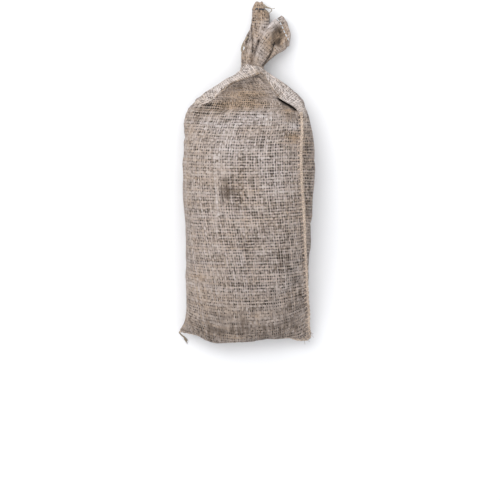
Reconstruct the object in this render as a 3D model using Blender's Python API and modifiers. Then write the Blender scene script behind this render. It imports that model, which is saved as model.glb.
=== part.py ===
"""A filled hessian sack lying on its back, its neck gathered and the mouth spread in two flaps.

The sack is one length of hessian, folded down its left side and oversewn down its right side and
across its foot. Metres, +Z up. +Y runs from the foot to the mouth, and the sewn side is at +X. The
origin is on the floor under the middle of the sack.
"""

import math
from collections import namedtuple

import bmesh
import bpy
from mathutils import Vector
from mathutils.bvhtree import BVHTree

# How finely the cloth is cut into flat faces.
GIRTH_POINTS = 60
RINGS_PER_GIRTH = 2
SHOULDER_RINGS_PER_GIRTH = 3
SHOULDER_GIRTH = 10
ARC_SAMPLES = 6
TUBE_BEVEL = 2
WELD_REACH = 0.00001

# Base colours and roughnesses.
HESSIAN_COLOUR = (0.36, 0.30, 0.25)
HESSIAN_ROUGHNESS = 0.95
TWINE_COLOUR = (0.46, 0.36, 0.25)
TWINE_ROUGHNESS = 0.90

# The cloth of the mouth's flaps, two yarns thick where they cross.
CLOTH_THICK = 0.0014

# The sewn edge is a round welt of twine that lies this far off the cloth.
SEAM_RADIUS = 0.0032
SEAM_GAP = 0.0007
SEAM_POINTS = 78
SEAM_TOP_GIRTH = 11
SEAM_FOOT_GIRTH = 1
RIGHT_CORNER_OUT = Vector((1.15, -1.05, -0.30))
LEFT_CORNER_OUT = Vector((-0.20, -0.88, -0.48))

# The chain of twine that the sewing ends in. It drops from the left foot corner to the floor, and
# swells into a knot over its last stretch.
TAIL_RADIUS = 0.0016
TAIL_POINTS = 18
KNOT_SWELL = 1.2
KNOT_MIDDLE = 0.86
KNOT_REACH = 0.13
TAIL_ROUTE = [
    (-0.1368, -0.3268, 0.0223),
    (-0.1370, -0.3290, 0.0183),
    (-0.1354, -0.3318, 0.0142),
    (-0.1320, -0.3356, 0.0101),
    (-0.1290, -0.3380, 0.0067),
    (-0.1262, -0.3410, 0.0047),
    (-0.1245, -0.3446, 0.0039),
    (-0.1233, -0.3490, 0.0037),
]

# How square the crown and the belly are in section. 2 is an ellipse.
CROWN_SQUARE = 2.35
BELLY_SQUARE = 3.4

# How sharply a girth's crown and belly turn back to its edges, along the sack.
EDGE_TURN = 2.5

# One row for each girth, from the sewn foot to the neck. top, side and under say where along the
# sack its crown, its two edges and its belly lie. left and right are the edges across, and the z
# columns are heights: a belly below 0 is pressed flat by the floor. seam is how far the sewn edge
# lies in from the right edge, over the crown.
Girth = namedtuple("Girth", "top side under left right z_left z_right z_top z_under seam")
GIRTHS = [
    Girth(-0.3350, -0.3225, -0.3350, -0.1360, 0.1265, 0.028, 0.028, 0.026, 0.026, 0.000),
    Girth(-0.3480, -0.3180, -0.3310, -0.1320, 0.1275, 0.030, 0.031, 0.040, 0.013, 0.000),
    Girth(-0.3440, -0.3080, -0.3210, -0.1280, 0.1275, 0.034, 0.035, 0.052, 0.004, 0.001),
    Girth(-0.3230, -0.2920, -0.3040, -0.1250, 0.1275, 0.038, 0.039, 0.065, -0.002, 0.001),
    Girth(-0.2900, -0.2700, -0.2800, -0.1230, 0.1270, 0.042, 0.045, 0.080, -0.003, 0.002),
    Girth(-0.2450, -0.2360, -0.2420, -0.1230, 0.1260, 0.046, 0.050, 0.098, -0.003, 0.003),
    Girth(-0.1900, -0.1900, -0.1900, -0.1230, 0.1270, 0.049, 0.054, 0.114, -0.003, 0.006),
    Girth(-0.1200, -0.1200, -0.1200, -0.1250, 0.1310, 0.051, 0.058, 0.125, -0.003, 0.013),
    Girth(-0.0400, -0.0400, -0.0400, -0.1290, 0.1360, 0.051, 0.060, 0.126, -0.003, 0.022),
    Girth(0.0350, 0.0350, 0.0350, -0.1280, 0.1390, 0.050, 0.060, 0.120, -0.003, 0.025),
    Girth(0.0880, 0.0880, 0.0880, -0.1250, 0.1330, 0.049, 0.058, 0.110, -0.002, 0.017),
    Girth(0.1170, 0.1170, 0.1160, -0.1215, 0.1270, 0.048, 0.056, 0.097, 0.003, 0.013),
    Girth(0.1410, 0.1400, 0.1380, -0.1170, 0.1210, 0.048, 0.055, 0.086, 0.009, 0.014),
    Girth(0.1630, 0.1620, 0.1600, -0.0870, 0.1060, 0.050, 0.055, 0.079, 0.016, 0.018),
    Girth(0.1840, 0.1830, 0.1810, -0.0540, 0.0790, 0.052, 0.055, 0.076, 0.022, 0.018),
    Girth(0.2000, 0.2000, 0.1980, -0.0240, 0.0510, 0.051, 0.053, 0.073, 0.025, 0.014),
    Girth(0.2110, 0.2110, 0.2100, -0.0110, 0.0350, 0.048, 0.049, 0.069, 0.025, 0.010),
    Girth(0.2215, 0.2215, 0.2215, -0.0090, 0.0310, 0.046, 0.046, 0.065, 0.026, 0.008),
]

# The sewn foot edge is pushed in and out along its length.
Nudge = namedtuple("Nudge", "x reach y")
FOOT_NUDGES = [
    Nudge(-0.100, 0.016, 0.002),
    Nudge(-0.062, 0.028, -0.0045),
    Nudge(0.035, 0.030, 0.004),
    Nudge(0.116, 0.021, -0.013),
]
FOOT_NUDGE_GIRTHS = 3

# The main folds of the upper side, as runs of points seen from above. A height below 0 is a trough.
Fold = namedtuple("Fold", "run width height")
FOLDS = [
    Fold([(-0.106, 0.140), (-0.062, 0.168), (-0.012, 0.198), (0.022, 0.210)], 0.012, 0.008),
    Fold([(-0.048, 0.146), (-0.020, 0.168), (0.012, 0.180), (0.028, 0.192)], 0.014, -0.011),
    Fold([(0.052, 0.188), (0.092, 0.158), (0.114, 0.118)], 0.013, 0.009),
    Fold([(0.050, 0.158), (0.074, 0.146), (0.098, 0.127)], 0.012, -0.010),
    Fold([(-0.088, 0.104), (-0.020, 0.124), (0.045, 0.118), (0.096, 0.094)], 0.018, 0.006),
    Fold([(-0.062, 0.020), (-0.064, -0.120), (-0.060, -0.250)], 0.014, 0.0025),
]

# The gathers that run out from the neck into the shoulders, all round.
GATHER_COUNT = 9
GATHER_DEPTH = 0.0025
GATHER_FIRST_GIRTH = 11

# A flap's course from inside the neck to the mouth: the middle of its cloth, half its width, and
# the heights of its lowest and highest layers.
Course = namedtuple("Course", "x y half z_low z_high")
LEFT_COURSE = [
    Course(0.0022, 0.2060, 0.0112, 0.0320, 0.0600),
    Course(0.0022, 0.2240, 0.0115, 0.0300, 0.0600),
    Course(0.0062, 0.2520, 0.0137, 0.0220, 0.0520),
    Course(0.0160, 0.2740, 0.0158, 0.0140, 0.0440),
    Course(0.0272, 0.2932, 0.0185, 0.0080, 0.0370),
    Course(0.0310, 0.3137, 0.0175, 0.0040, 0.0320),
    Course(0.0303, 0.3340, 0.0145, 0.0015, 0.0290),
    Course(0.0297, 0.3470, 0.0126, 0.0010, 0.0280),
]
RIGHT_COURSE = [
    Course(0.0245, 0.2060, 0.0118, 0.0320, 0.0600),
    Course(0.0262, 0.2220, 0.0122, 0.0290, 0.0600),
    Course(0.0345, 0.2400, 0.0162, 0.0220, 0.0550),
    Course(0.0515, 0.2610, 0.0222, 0.0120, 0.0460),
    Course(0.0700, 0.2800, 0.0255, 0.0050, 0.0390),
    Course(0.0860, 0.2955, 0.0252, 0.0015, 0.0340),
]
RIGHT_MOUTH_SLANT = 0.26

# The left flap is pleated back and forth. Each layer, from the floor up, reaches this share of the
# flap's half width to the left and to the right.
Layer = namedtuple("Layer", "left right")
LEFT_LAYERS = [
    Layer(-0.80, 0.86),
    Layer(-0.92, 0.95),
    Layer(-0.98, 0.90),
    Layer(-0.90, 1.00),
    Layer(-1.00, 0.92),
    Layer(-0.88, 0.98),
    Layer(-0.96, 0.90),
    Layer(-1.00, 0.96),
    Layer(-0.92, 0.90),
    Layer(-1.00, 1.00),
    Layer(-0.62, 0.94),
]

# The right flap is a spout, in section from its upper edge round to the floor: a panel that folds
# over, the hollow beside it with its raised rim, then pleats. across is a share of the half width,
# and up of the flap's height.
SectionPoint = namedtuple("SectionPoint", "across up")
SPOUT_SECTION = [
    SectionPoint(-0.34, 0.72),
    SectionPoint(0.06, 0.74),
    SectionPoint(0.18, 0.86),
    SectionPoint(0.02, 0.97),
    SectionPoint(-0.46, 1.00),
    SectionPoint(-0.82, 0.88),
    SectionPoint(-0.96, 0.64),
    SectionPoint(-0.84, 0.42),
    SectionPoint(-0.30, 0.35),
    SectionPoint(0.38, 0.36),
    SectionPoint(0.70, 0.46),
    SectionPoint(0.80, 0.64),
    SectionPoint(0.80, 0.84),
    SectionPoint(0.98, 0.84),
    SectionPoint(1.00, 0.60),
    SectionPoint(0.92, 0.34),
    SectionPoint(0.64, 0.235),
    SectionPoint(-0.78, 0.24),
    SectionPoint(-0.78, 0.13),
    SectionPoint(0.74, 0.12),
    SectionPoint(0.76, 0.02),
    SectionPoint(-0.62, 0.02),
]


def clear_scene():
    for thing in list(bpy.data.objects):
        bpy.data.objects.remove(thing)


def curve_through(values, at):
    """The smooth curve through equally spaced values, at a place counted in values."""
    i = min(int(at), len(values) - 2)
    f = at - i
    here, after = values[i], values[i + 1]
    before = values[i - 1] if i > 0 else 2 * here - after
    beyond = values[i + 2] if i + 2 < len(values) else 2 * after - here
    leaving = (after - before) / 2
    arriving = (beyond - here) / 2
    bend = 3 * (after - here) - 2 * leaving - arriving
    twist = leaving + arriving - 2 * (after - here)
    return here + f * (leaving + f * (bend + f * twist))


def row_at(rows, at):
    """A row between the rows of a table: each column follows its own smooth curve."""
    return type(rows[0])(*(curve_through(column, at) for column in zip(*rows)))


def ease(low, high, value):
    """0 below low, 1 above high, and a smooth rise between them."""
    f = min(max((value - low) / (high - low), 0.0), 1.0)
    return f * f * (3 - 2 * f)


def evenly_along(points, count, closed):
    """Points at even distances along a run. A closed run's last point repeats its first."""
    reached = [0.0]
    for a, b in zip(points, points[1:]):
        reached.append(reached[-1] + (b - a).length)
    spaces = count if closed else count - 1
    even, i = [], 0
    for step in range(count):
        wanted = reached[-1] * step / spaces
        while i < len(points) - 2 and reached[i + 1] < wanted:
            i += 1
        share = (wanted - reached[i]) / (reached[i + 1] - reached[i])
        even.append(points[i].lerp(points[i + 1], share))
    return even


def distance_to_run(x, y, run):
    """How far a place is from a run of points, seen from above."""
    nearest = math.inf
    for (ax, ay), (bx, by) in zip(run, run[1:]):
        along_x, along_y = bx - ax, by - ay
        share = ((x - ax) * along_x + (y - ay) * along_y) / (along_x**2 + along_y**2)
        share = min(max(share, 0.0), 1.0)
        nearest = min(nearest, math.hypot(x - ax - share * along_x, y - ay - share * along_y))
    return nearest


def fold_height(x, y):
    return sum(f.height * math.exp(-((distance_to_run(x, y, f.run) / f.width) ** 2)) for f in FOLDS)


def skin(at, angle):
    """A point of the filled cloth. Angle 0 is the right edge, and a quarter turn on is the crown."""
    g = row_at(GIRTHS, at)
    half = (g.right - g.left) / 2
    out, up = math.cos(angle), math.sin(angle)
    power = 2 / (CROWN_SQUARE if up >= 0 else BELLY_SQUARE)
    across = math.copysign(abs(out) ** power, out)
    lift = abs(up) ** power
    middle_y, middle_z = (g.top, g.z_top) if up >= 0 else (g.under, g.z_under)
    edge_z = g.z_left + (g.z_right - g.z_left) * (1 + across) / 2
    x = (g.left + g.right) / 2 + half * across
    y = g.side + (middle_y - g.side) * (1 - abs(across) ** EDGE_TURN)
    z = edge_z + (middle_z - edge_z) * lift
    foot = 1 - ease(0.0, FOOT_NUDGE_GIRTHS, at)
    for nudge in FOOT_NUDGES:
        y += foot * nudge.y * math.exp(-(((x - nudge.x) / nudge.reach) ** 2))
    if up > 0:
        z += fold_height(x, y) * math.sqrt(up)
    gathered = ease(GATHER_FIRST_GIRTH, len(GIRTHS) - 2, at)
    gather = gathered * GATHER_DEPTH * math.sin(GATHER_COUNT * angle)
    return Vector((x + gather * out, y, max(z + gather * up, 0.0)))


def girth_ring(at):
    """Points evenly round the sack at one girth, from the sewn edge up over the crown."""
    g = row_at(GIRTHS, at)
    inward = 1 - 2 * g.seam / (g.right - g.left)
    first = math.acos(min(inward, 1.0) ** (CROWN_SQUARE / 2))
    samples = GIRTH_POINTS * ARC_SAMPLES
    run = [skin(at, first + math.tau * i / samples) for i in range(samples + 1)]
    return evenly_along(run, GIRTH_POINTS, closed=True)


def foot_line():
    """The first ring: the foot seam, where the upper and lower cloth meet point for point."""
    upper = girth_ring(0.0)[: GIRTH_POINTS // 2 + 1]
    return upper + upper[-2:0:-1]


def material(name, colour, roughness):
    made = bpy.data.materials.new(name)
    made.use_nodes = True
    shader = made.node_tree.nodes["Principled BSDF"]
    shader.inputs["Base Color"].default_value = (*colour, 1.0)
    shader.inputs["Roughness"].default_value = roughness
    return made


def object_of(name, mesh):
    """An object of a bmesh, which is freed."""
    data = bpy.data.meshes.new(name)
    mesh.to_mesh(data)
    mesh.free()
    return bpy.data.objects.new(name, data)


def filled_cloth(rings):
    """The closed solid through the rings, from the foot seam to the capped neck."""
    mesh = bmesh.new()
    made = [[mesh.verts.new(point) for point in ring] for ring in rings]
    for near, far in zip(made, made[1:]):
        for i in range(GIRTH_POINTS):
            j = (i + 1) % GIRTH_POINTS
            mesh.faces.new((near[i], near[j], far[j], far[i]))
    mesh.faces.new(made[-1])
    bmesh.ops.remove_doubles(mesh, verts=made[0], dist=WELD_REACH)
    bmesh.ops.triangulate(mesh, faces=mesh.faces)
    bmesh.ops.recalc_face_normals(mesh, faces=mesh.faces)
    return object_of("sack", mesh)


def pleat_path(course):
    """The left flap's cloth in section, back and forth from the floor up."""
    path = []
    spacing = (course.z_high - course.z_low - CLOTH_THICK) / (len(LEFT_LAYERS) - 1)
    for i, layer in enumerate(LEFT_LAYERS):
        height = course.z_low + CLOTH_THICK / 2 + spacing * i
        ends = [(layer.left * course.half, height), (layer.right * course.half, height)]
        path += ends if i % 2 == 0 else ends[::-1]
    return path


def spout_path(course):
    """The right flap's cloth in section."""
    rise = course.z_high - course.z_low - CLOTH_THICK
    low = course.z_low + CLOTH_THICK / 2
    return [(p.across * course.half, low + p.up * rise) for p in SPOUT_SECTION]


def flap(name, courses, path_of, slant):
    """A folded flap: its sections along its course, given the cloth's thickness.

    slant leans the mouth's end back across the course.
    """
    mesh = bmesh.new()
    rows = []
    for i, course in enumerate(courses):
        before = courses[max(i - 1, 0)]
        after = courses[min(i + 1, len(courses) - 1)]
        along = Vector((after.x - before.x, after.y - before.y)).normalized()
        share = i / (len(courses) - 1)
        lean = Vector((along.y, -along.x)) - along * slant * share**2
        row = []
        for across, height in path_of(course):
            row.append(mesh.verts.new((course.x + lean.x * across, course.y + lean.y * across, height)))
        rows.append(row)
    for near, far in zip(rows, rows[1:]):
        for i in range(len(near) - 1):
            mesh.faces.new((near[i], near[i + 1], far[i + 1], far[i]))
    made = object_of(name, mesh)
    cloth = made.modifiers.new("thickness", "SOLIDIFY")
    cloth.thickness = CLOTH_THICK
    cloth.offset = 0.0
    cloth.use_even_offset = True
    return made


def tube(name, points, radius):
    curve = bpy.data.curves.new(name, "CURVE")
    curve.dimensions = "3D"
    curve.bevel_depth = radius
    curve.bevel_resolution = TUBE_BEVEL
    curve.use_fill_caps = True
    spline = curve.splines.new("POLY")
    spline.points.add(len(points) - 1)
    for point, place in zip(spline.points, points):
        point.co = (*place, 1.0)
    return bpy.data.objects.new(name, curve)


def smooth_run(points, count):
    """Even points on the smooth curve through a few points."""
    fine = count * ARC_SAMPLES
    last = len(points) - 1
    curve = [curve_through(points, last * i / fine) for i in range(fine + 1)]
    return evenly_along(curve, count, closed=False)


def ring_places():
    """The girths that the rings are taken at, closer together over the folded shoulders."""
    below = [i / RINGS_PER_GIRTH for i in range(SHOULDER_GIRTH * RINGS_PER_GIRTH)]
    steps = (len(GIRTHS) - 1 - SHOULDER_GIRTH) * SHOULDER_RINGS_PER_GIRTH
    above = [SHOULDER_GIRTH + i / SHOULDER_RINGS_PER_GIRTH for i in range(steps + 1)]
    return below + above


def clear_of(cloth, points, distance):
    """The points, with each that is too near the cloth moved straight out to that distance."""
    faces = [tuple(face.vertices) for face in cloth.data.polygons]
    tree = BVHTree.FromPolygons([vertex.co for vertex in cloth.data.vertices], faces)
    clear = []
    for point in points:
        nearest = tree.find_nearest(point)[0]
        out = point - nearest
        clear.append(nearest + out.normalized() * max(out.length, distance))
    return clear


def seam_route(cloth, rings, places):
    """The welt's middle: down the right side, round the corner and along the foot."""
    off = SEAM_RADIUS + SEAM_GAP
    route = []
    for k in range(places.index(SEAM_TOP_GIRTH), places.index(SEAM_FOOT_GIRTH) - 1, -1):
        round_it = rings[k][1] - rings[k][-1]
        along = rings[k + 1][0] - rings[k - 1][0]
        route.append(rings[k][0] + along.cross(round_it).normalized() * off)
    foot = rings[0][: GIRTH_POINTS // 2 + 1]
    route.append(foot[0] + RIGHT_CORNER_OUT * off)
    for j in range(2, GIRTH_POINTS // 2, 2):
        along = foot[j + 1] - foot[j - 1]
        through = rings[1][j] - rings[1][-j]
        route.append(foot[j] + through.cross(along).normalized() * off)
    route.append(foot[-1] + LEFT_CORNER_OUT * off)
    return clear_of(cloth, smooth_run(route, SEAM_POINTS), off)


def tail_radius(share):
    """The tail's radius at a share of its length, as a factor of its plain radius."""
    return 1 + KNOT_SWELL * math.exp(-(((share - KNOT_MIDDLE) / KNOT_REACH) ** 2))


def build():
    clear_scene()
    pieces = bpy.data.collections.new("hessian_sack")
    cutters = bpy.data.collections.new("cutters")
    bpy.context.scene.collection.children.link(pieces)
    bpy.context.scene.collection.children.link(cutters)
    hessian = material("hessian", HESSIAN_COLOUR, HESSIAN_ROUGHNESS)
    twine = material("jute twine", TWINE_COLOUR, TWINE_ROUGHNESS)

    places = ring_places()
    rings = [foot_line()] + [girth_ring(at) for at in places[1:]]
    sack = filled_cloth(rings)
    sack.data.materials.append(hessian)
    pieces.objects.link(sack)

    left_flap = flap("left_flap", LEFT_COURSE, pleat_path, 0.0)
    right_flap = flap("right_flap", RIGHT_COURSE, spout_path, RIGHT_MOUTH_SLANT)
    for mouth_flap in (left_flap, right_flap):
        mouth_flap.hide_render = True
        mouth_flap.display_type = "WIRE"
        cutters.objects.link(mouth_flap)
        join = sack.modifiers.new("join " + mouth_flap.name, "BOOLEAN")
        join.operation = "UNION"
        join.object = mouth_flap

    seam = tube("seam_twine", seam_route(sack, rings, places), SEAM_RADIUS)
    seam.data.materials.append(twine)
    pieces.objects.link(seam)

    tail = tube("chain_tail", smooth_run([Vector(p) for p in TAIL_ROUTE], TAIL_POINTS), TAIL_RADIUS)
    for i, point in enumerate(tail.data.splines[0].points):
        point.radius = tail_radius(i / (TAIL_POINTS - 1))
    tail.data.materials.append(twine)
    pieces.objects.link(tail)


build()
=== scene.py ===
import math
import random

import bmesh
import bpy
import numpy as np
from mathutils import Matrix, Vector, noise
from mathutils.bvhtree import BVHTree


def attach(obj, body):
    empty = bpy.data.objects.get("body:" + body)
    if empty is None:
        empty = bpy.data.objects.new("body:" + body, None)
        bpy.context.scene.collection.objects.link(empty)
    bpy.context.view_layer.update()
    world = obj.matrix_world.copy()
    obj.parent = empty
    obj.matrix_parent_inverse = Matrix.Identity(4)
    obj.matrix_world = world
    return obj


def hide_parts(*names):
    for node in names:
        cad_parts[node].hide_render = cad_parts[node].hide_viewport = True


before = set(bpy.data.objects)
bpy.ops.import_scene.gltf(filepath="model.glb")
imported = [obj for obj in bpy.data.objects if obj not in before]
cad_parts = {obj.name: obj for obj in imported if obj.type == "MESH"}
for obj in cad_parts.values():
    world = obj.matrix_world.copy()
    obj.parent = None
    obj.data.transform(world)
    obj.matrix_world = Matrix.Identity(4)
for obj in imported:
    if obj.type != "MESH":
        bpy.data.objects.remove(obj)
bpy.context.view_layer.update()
bpy.ops.object.select_all(action="DESELECT")
random.seed(7)

# ---------------------------------------------------------------- camera
# The sack is seen from far above its middle, with its mouth at the top of the picture and a strip
# of bare floor below its foot.
VIEW_TILT = math.radians(-1.57)
VIEW_MIDDLE = Vector((0.0082, -0.158, 0.045))
VIEW_WIDTH = 1.025
VIEW_LENS = 200
SENSOR = 36
VIEW_DISTANCE = VIEW_WIDTH * VIEW_LENS / SENSOR
lens = bpy.data.cameras.new("camera")
lens.lens = VIEW_LENS
lens.sensor_width = SENSOR
lens.clip_start = 0.05
camera = bpy.data.objects.new("camera", lens)
bpy.context.scene.collection.objects.link(camera)
camera.rotation_euler = (VIEW_TILT, 0, 0)
camera.location = VIEW_MIDDLE - VIEW_DISTANCE * Vector(
    (0, math.sin(VIEW_TILT), -math.cos(VIEW_TILT))
)
bpy.context.scene.camera = camera

# ---------------------------------------------------------------- chain tail
# The last few centimetres of the sewing twine, run off the left foot corner as a slack chain and
# knotted so that the seam can't ravel. Three soft jute strands laid round each other.
TAIL_ROUTE = [
    (-0.1368, -0.3268, 0.0223),
    (-0.1370, -0.3290, 0.0183),
    (-0.1354, -0.3318, 0.0142),
    (-0.1320, -0.3356, 0.0101),
    (-0.1290, -0.3380, 0.0067),
    (-0.1262, -0.3410, 0.0047),
    (-0.1245, -0.3446, 0.0039),
    (-0.1233, -0.3490, 0.0037),
]
TAIL_POINTS = 60
TAIL_STRANDS = 3
TAIL_STRAND_RADIUS = 0.00085
TAIL_SWING = 0.0008
TAIL_LIFT = 0.0004
TAIL_LAY = 0.0085
FIRST_SIDE = (0.3, 0.2, 0.9)  # no run starts in this direction
TINY = 1e-12


def through(rows, at):
    """The smooth curve through the rows of a table, at places counted in rows."""
    rows, at = np.asarray(rows, float), np.asarray(at, float)
    i = np.clip(at.astype(int), 0, len(rows) - 2)
    f = (at - i)[:, None]
    ends = [2 * rows[0] - rows[1]], [2 * rows[-1] - rows[-2]]
    padded = np.concatenate([ends[0], rows, ends[1]])
    before, here, after, beyond = (padded[i + k] for k in range(4))
    leaving, arriving = (after - before) / 2, (beyond - here) / 2
    bend = 3 * (after - here) - 2 * leaving - arriving
    twist = leaving + arriving - 2 * (after - here)
    return here + f * (leaving + f * (bend + f * twist))


def unit(vectors):
    """The same directions, each 1 long."""
    return vectors / (np.linalg.norm(vectors, axis=-1, keepdims=True) + TINY)


def lengths_along(runs):
    """How far each point of a run, or of each of several runs, is from the run's start."""
    steps = np.linalg.norm(np.diff(runs, axis=-2), axis=-1)
    start = np.zeros((*steps.shape[:-1], 1))
    return np.concatenate([start, np.cumsum(steps, axis=-1)], axis=-1)


def resample(run, reached, wanted):
    """Points of one run at the distances wanted."""
    return np.stack([np.interp(wanted, reached, run[:, k]) for k in range(3)], axis=1)


def smooth_run(points, count):
    """Places at even distances along the smooth curve through some points."""
    run = through(points, np.linspace(0, len(points) - 1, count * 8))
    reached = lengths_along(run)
    return resample(run, reached, np.linspace(0, reached[-1], count))


def sides_of(run):
    """Directions along a run, and two across it that turn with it as little as they can."""
    along = unit(np.gradient(run, axis=0))
    across = np.empty_like(along)
    last = np.cross(along[0], FIRST_SIDE)
    for i, direction in enumerate(along):
        last = unit(last - direction * last.dot(direction))
        across[i] = last
    return along, across, np.cross(along, across)


def shaped(name, verts, faces):
    """A new object with the corners and faces given."""
    mesh = bpy.data.meshes.new(name)
    mesh.from_pydata([tuple(vert) for vert in verts], [], faces)
    made = bpy.data.objects.new(name, mesh)
    bpy.context.scene.collection.objects.link(made)
    return made


class Skein:
    """Tubes of twine and fibre, gathered into one mesh."""

    def __init__(self):
        self.verts, self.faces, self.along = [], [], []

    def add(self, run, radius, sides=6):
        """A closed tube along a run. radius is one number, or one for each point of the run."""
        run = np.asarray(run, float)
        radii = np.broadcast_to(radius, len(run))
        reached = lengths_along(run)
        _, across, up = sides_of(run)
        first = len(self.verts)
        for i, middle in enumerate(run):
            for k in range(sides):
                turn = math.tau * k / sides
                out = across[i] * math.cos(turn) + up[i] * math.sin(turn)
                self.verts.append(middle + out * radii[i])
                self.along.append((reached[i], turn / math.tau))
        for i in range(len(run) - 1):
            for k in range(sides):
                a, b = first + i * sides + k, first + i * sides + (k + 1) % sides
                self.faces.append((a, b, b + sides, a + sides))
        end = first + (len(run) - 1) * sides
        self.faces.append(tuple(first + k for k in reversed(range(sides))))
        self.faces.append(tuple(end + k for k in range(sides)))

    def wind(self, run, strands, swing, lift, lay, radius):
        """Strands plaited along a run. In every lay each swings across it once and up twice."""
        _, across, up = sides_of(run)
        for strand in range(strands):
            turn = math.tau * (lengths_along(run) / lay + strand / strands)
            swung = across * (np.sin(turn) * swing)[:, None]
            lifted = up * (np.sin(2 * turn) * lift)[:, None]
            self.add(run + swung + lifted, radius)

    def piece(self, name, finish):
        """The object of the whole skein. Its UV runs in metres along each tube."""
        made = shaped(name, self.verts, self.faces)
        corners = np.empty(len(made.data.loops), int)
        made.data.loops.foreach_get("vertex_index", corners)
        layer = made.data.uv_layers.new(name="twist")
        layer.data.foreach_set("uv", np.array(self.along)[corners].ravel())
        made.data.shade_smooth()
        made.data.materials.append(finish)
        return made


class Wire:
    """An output of a finish's nodes. Sums and products of wires add nodes that work them out."""

    def __init__(self, tree, socket=None):
        self.tree, self.socket = tree, socket

    def node(self, kind, settings=None, sockets=None, out=0):
        """An output of a new node, after its settings and then its sockets' values or links."""
        made = self.tree.nodes.new(kind)
        for name, value in (settings or {}).items():
            setattr(made, name, value)
        for name, value in (sockets or {}).items():
            if isinstance(value, Wire):
                self.tree.links.new(value.socket, made.inputs[name])
            else:
                made.inputs[name].default_value = value
        return Wire(self.tree, made.outputs[out])

    def math(self, operation, *others):
        values = dict(enumerate((self, *others)))
        return self.node("ShaderNodeMath", {"operation": operation}, values)

    def __add__(self, other):
        return self.math("ADD", other)

    def __sub__(self, other):
        return self.math("SUBTRACT", other)

    def __rsub__(self, other):
        return self.node("ShaderNodeMath", {"operation": "SUBTRACT"}, {0: other, 1: self})

    def __mul__(self, other):
        return self.math("MULTIPLY", other)

    def __truediv__(self, other):
        return self.math("DIVIDE", other)

    def __pow__(self, other):
        return self.math("POWER", other)

    def __gt__(self, other):
        return self.math("GREATER_THAN", other)

    __radd__, __rmul__ = __add__, __mul__

    def ease(self, low, high):
        """0 at low, 1 at high, and a smooth rise or fall between."""
        return self.node(
            "ShaderNodeMapRange",
            {"interpolation_type": "SMOOTHSTEP"},
            {"Value": self, "From Min": low, "From Max": high},
        )

    def noise(self, scale, detail=2.0, where=None):
        """Noise from about 0 to 1 over the object, or over the places given."""
        sockets = {"Scale": scale, "Detail": detail}
        if where is not None:
            sockets["Vector"] = where
        return self.node("ShaderNodeTexNoise", {}, sockets)

    def blend(self, first, second):
        """The first colour where this wire is 0, and the second where it is 1."""
        first, second = (c if isinstance(c, Wire) else (*c, 1) for c in (first, second))
        sockets = {0: self, 6: first, 7: second}
        return self.node("ShaderNodeMix", {"data_type": "RGBA"}, sockets, out=2)

    def coordinates(self):
        """The first two coordinates of this wire, as two wires."""
        split = self.node("ShaderNodeSeparateXYZ", {}, {0: self})
        return split, Wire(self.tree, split.socket.node.outputs[1])

    def spot(self, *coordinates):
        """A place, from up to three coordinates."""
        return self.node("ShaderNodeCombineXYZ", {}, dict(enumerate(coordinates)))

    def feed(self, shader, name):
        """Links this wire to one of the shader's sockets."""
        self.tree.links.new(self.socket, shader.inputs[name])


def finish_of(name, roughness, sheen):
    """A new material's shader, and a wire to start its nodes from."""
    made = bpy.data.materials.new(name)
    made.use_nodes = True
    shader = made.node_tree.nodes["Principled BSDF"]
    shader.inputs["Roughness"].default_value = roughness
    shader.inputs["Specular IOR Level"].default_value = 0.15
    shader.inputs["Sheen Weight"].default_value = sheen
    shader.inputs["Sheen Roughness"].default_value = 0.6
    return made, shader, Wire(made.node_tree)


PLY_LAY = 0.0042
PLY_BUMP = 0.0006


def twine_finish(name, pale, dark):
    """Soft twisted jute: plies that slant round the strand, hairy and uneven in colour."""
    made, shader, start = finish_of(name, 0.9, 0.15)
    place, round_it = start.node("ShaderNodeUVMap", {"uv_map": "twist"}).coordinates()
    slant = (place * (math.tau / PLY_LAY) + round_it * math.tau).math("SINE") * 0.5 + 0.5
    slant.socket.node.use_clamp = True
    where = start.node("ShaderNodeTexCoord", out=3)
    fibre = start.noise(900, 3, where)
    cloud = start.noise(120, 2, where)
    # The plies' slant is painted into the colour too: darker in the grooves between them, painted
    # shade, over the fibres' own uneven colour.
    light = (slant * 0.45 + fibre * 0.5 + cloud * 0.5 - 0.25).ease(0.05, 0.85)
    light.blend(dark, pale).feed(shader, "Base Color")
    height = slant * 0.6 + fibre * 0.7
    relief = {"Distance": PLY_BUMP, "Strength": 0.8, "Height": height}
    start.node("ShaderNodeBump", {}, relief).feed(shader, "Normal")
    return made


tail_twine = twine_finish("tail twine", (0.42, 0.35, 0.26), (0.20, 0.155, 0.11))
tail_run = smooth_run(TAIL_ROUTE, TAIL_POINTS)
tail = Skein()
tail.wind(tail_run, TAIL_STRANDS, TAIL_SWING, TAIL_LIFT, TAIL_LAY, TAIL_STRAND_RADIUS)
chain_tail = tail.piece("chain_tail_twine", tail_twine)

# ---------------------------------------------------------------- tail knot
# The thumb knot at the tail's end: the same three strands wound round themselves and pulled up,
# with a short brush of loose ends.
KNOT_MIDDLE = 0.85
KNOT_RADIUS = 0.0024
KNOT_HALF = 0.0027
KNOT_WAVE = 0.0006
KNOT_FLAT = 0.82
KNOT_TURNS = 2.6
KNOT_POINTS = 64
KNOT_STRAND_RADIUS = 0.00105
BRUSH_STRANDS = 9
BRUSH_REACH = (0.002, 0.005)
BRUSH_RADIUS = 0.00022
knot_index = int(KNOT_MIDDLE * (TAIL_POINTS - 1))
knot_along, knot_across, knot_up = (side[knot_index] for side in sides_of(tail_run))
knot_run = []
for i in range(KNOT_POINTS):
    share = i / (KNOT_POINTS - 1)
    turn = math.tau * KNOT_TURNS * share
    swell = KNOT_RADIUS * (0.75 + 0.25 * math.cos(turn * 0.8))
    knot_run.append(
        tail_run[knot_index]
        + knot_along * (KNOT_HALF * (2 * share - 1) + KNOT_WAVE * math.sin(2 * turn))
        + knot_across * swell * math.cos(turn)
        + knot_up * KNOT_FLAT * swell * math.sin(turn)
    )
knot = Skein()
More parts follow.
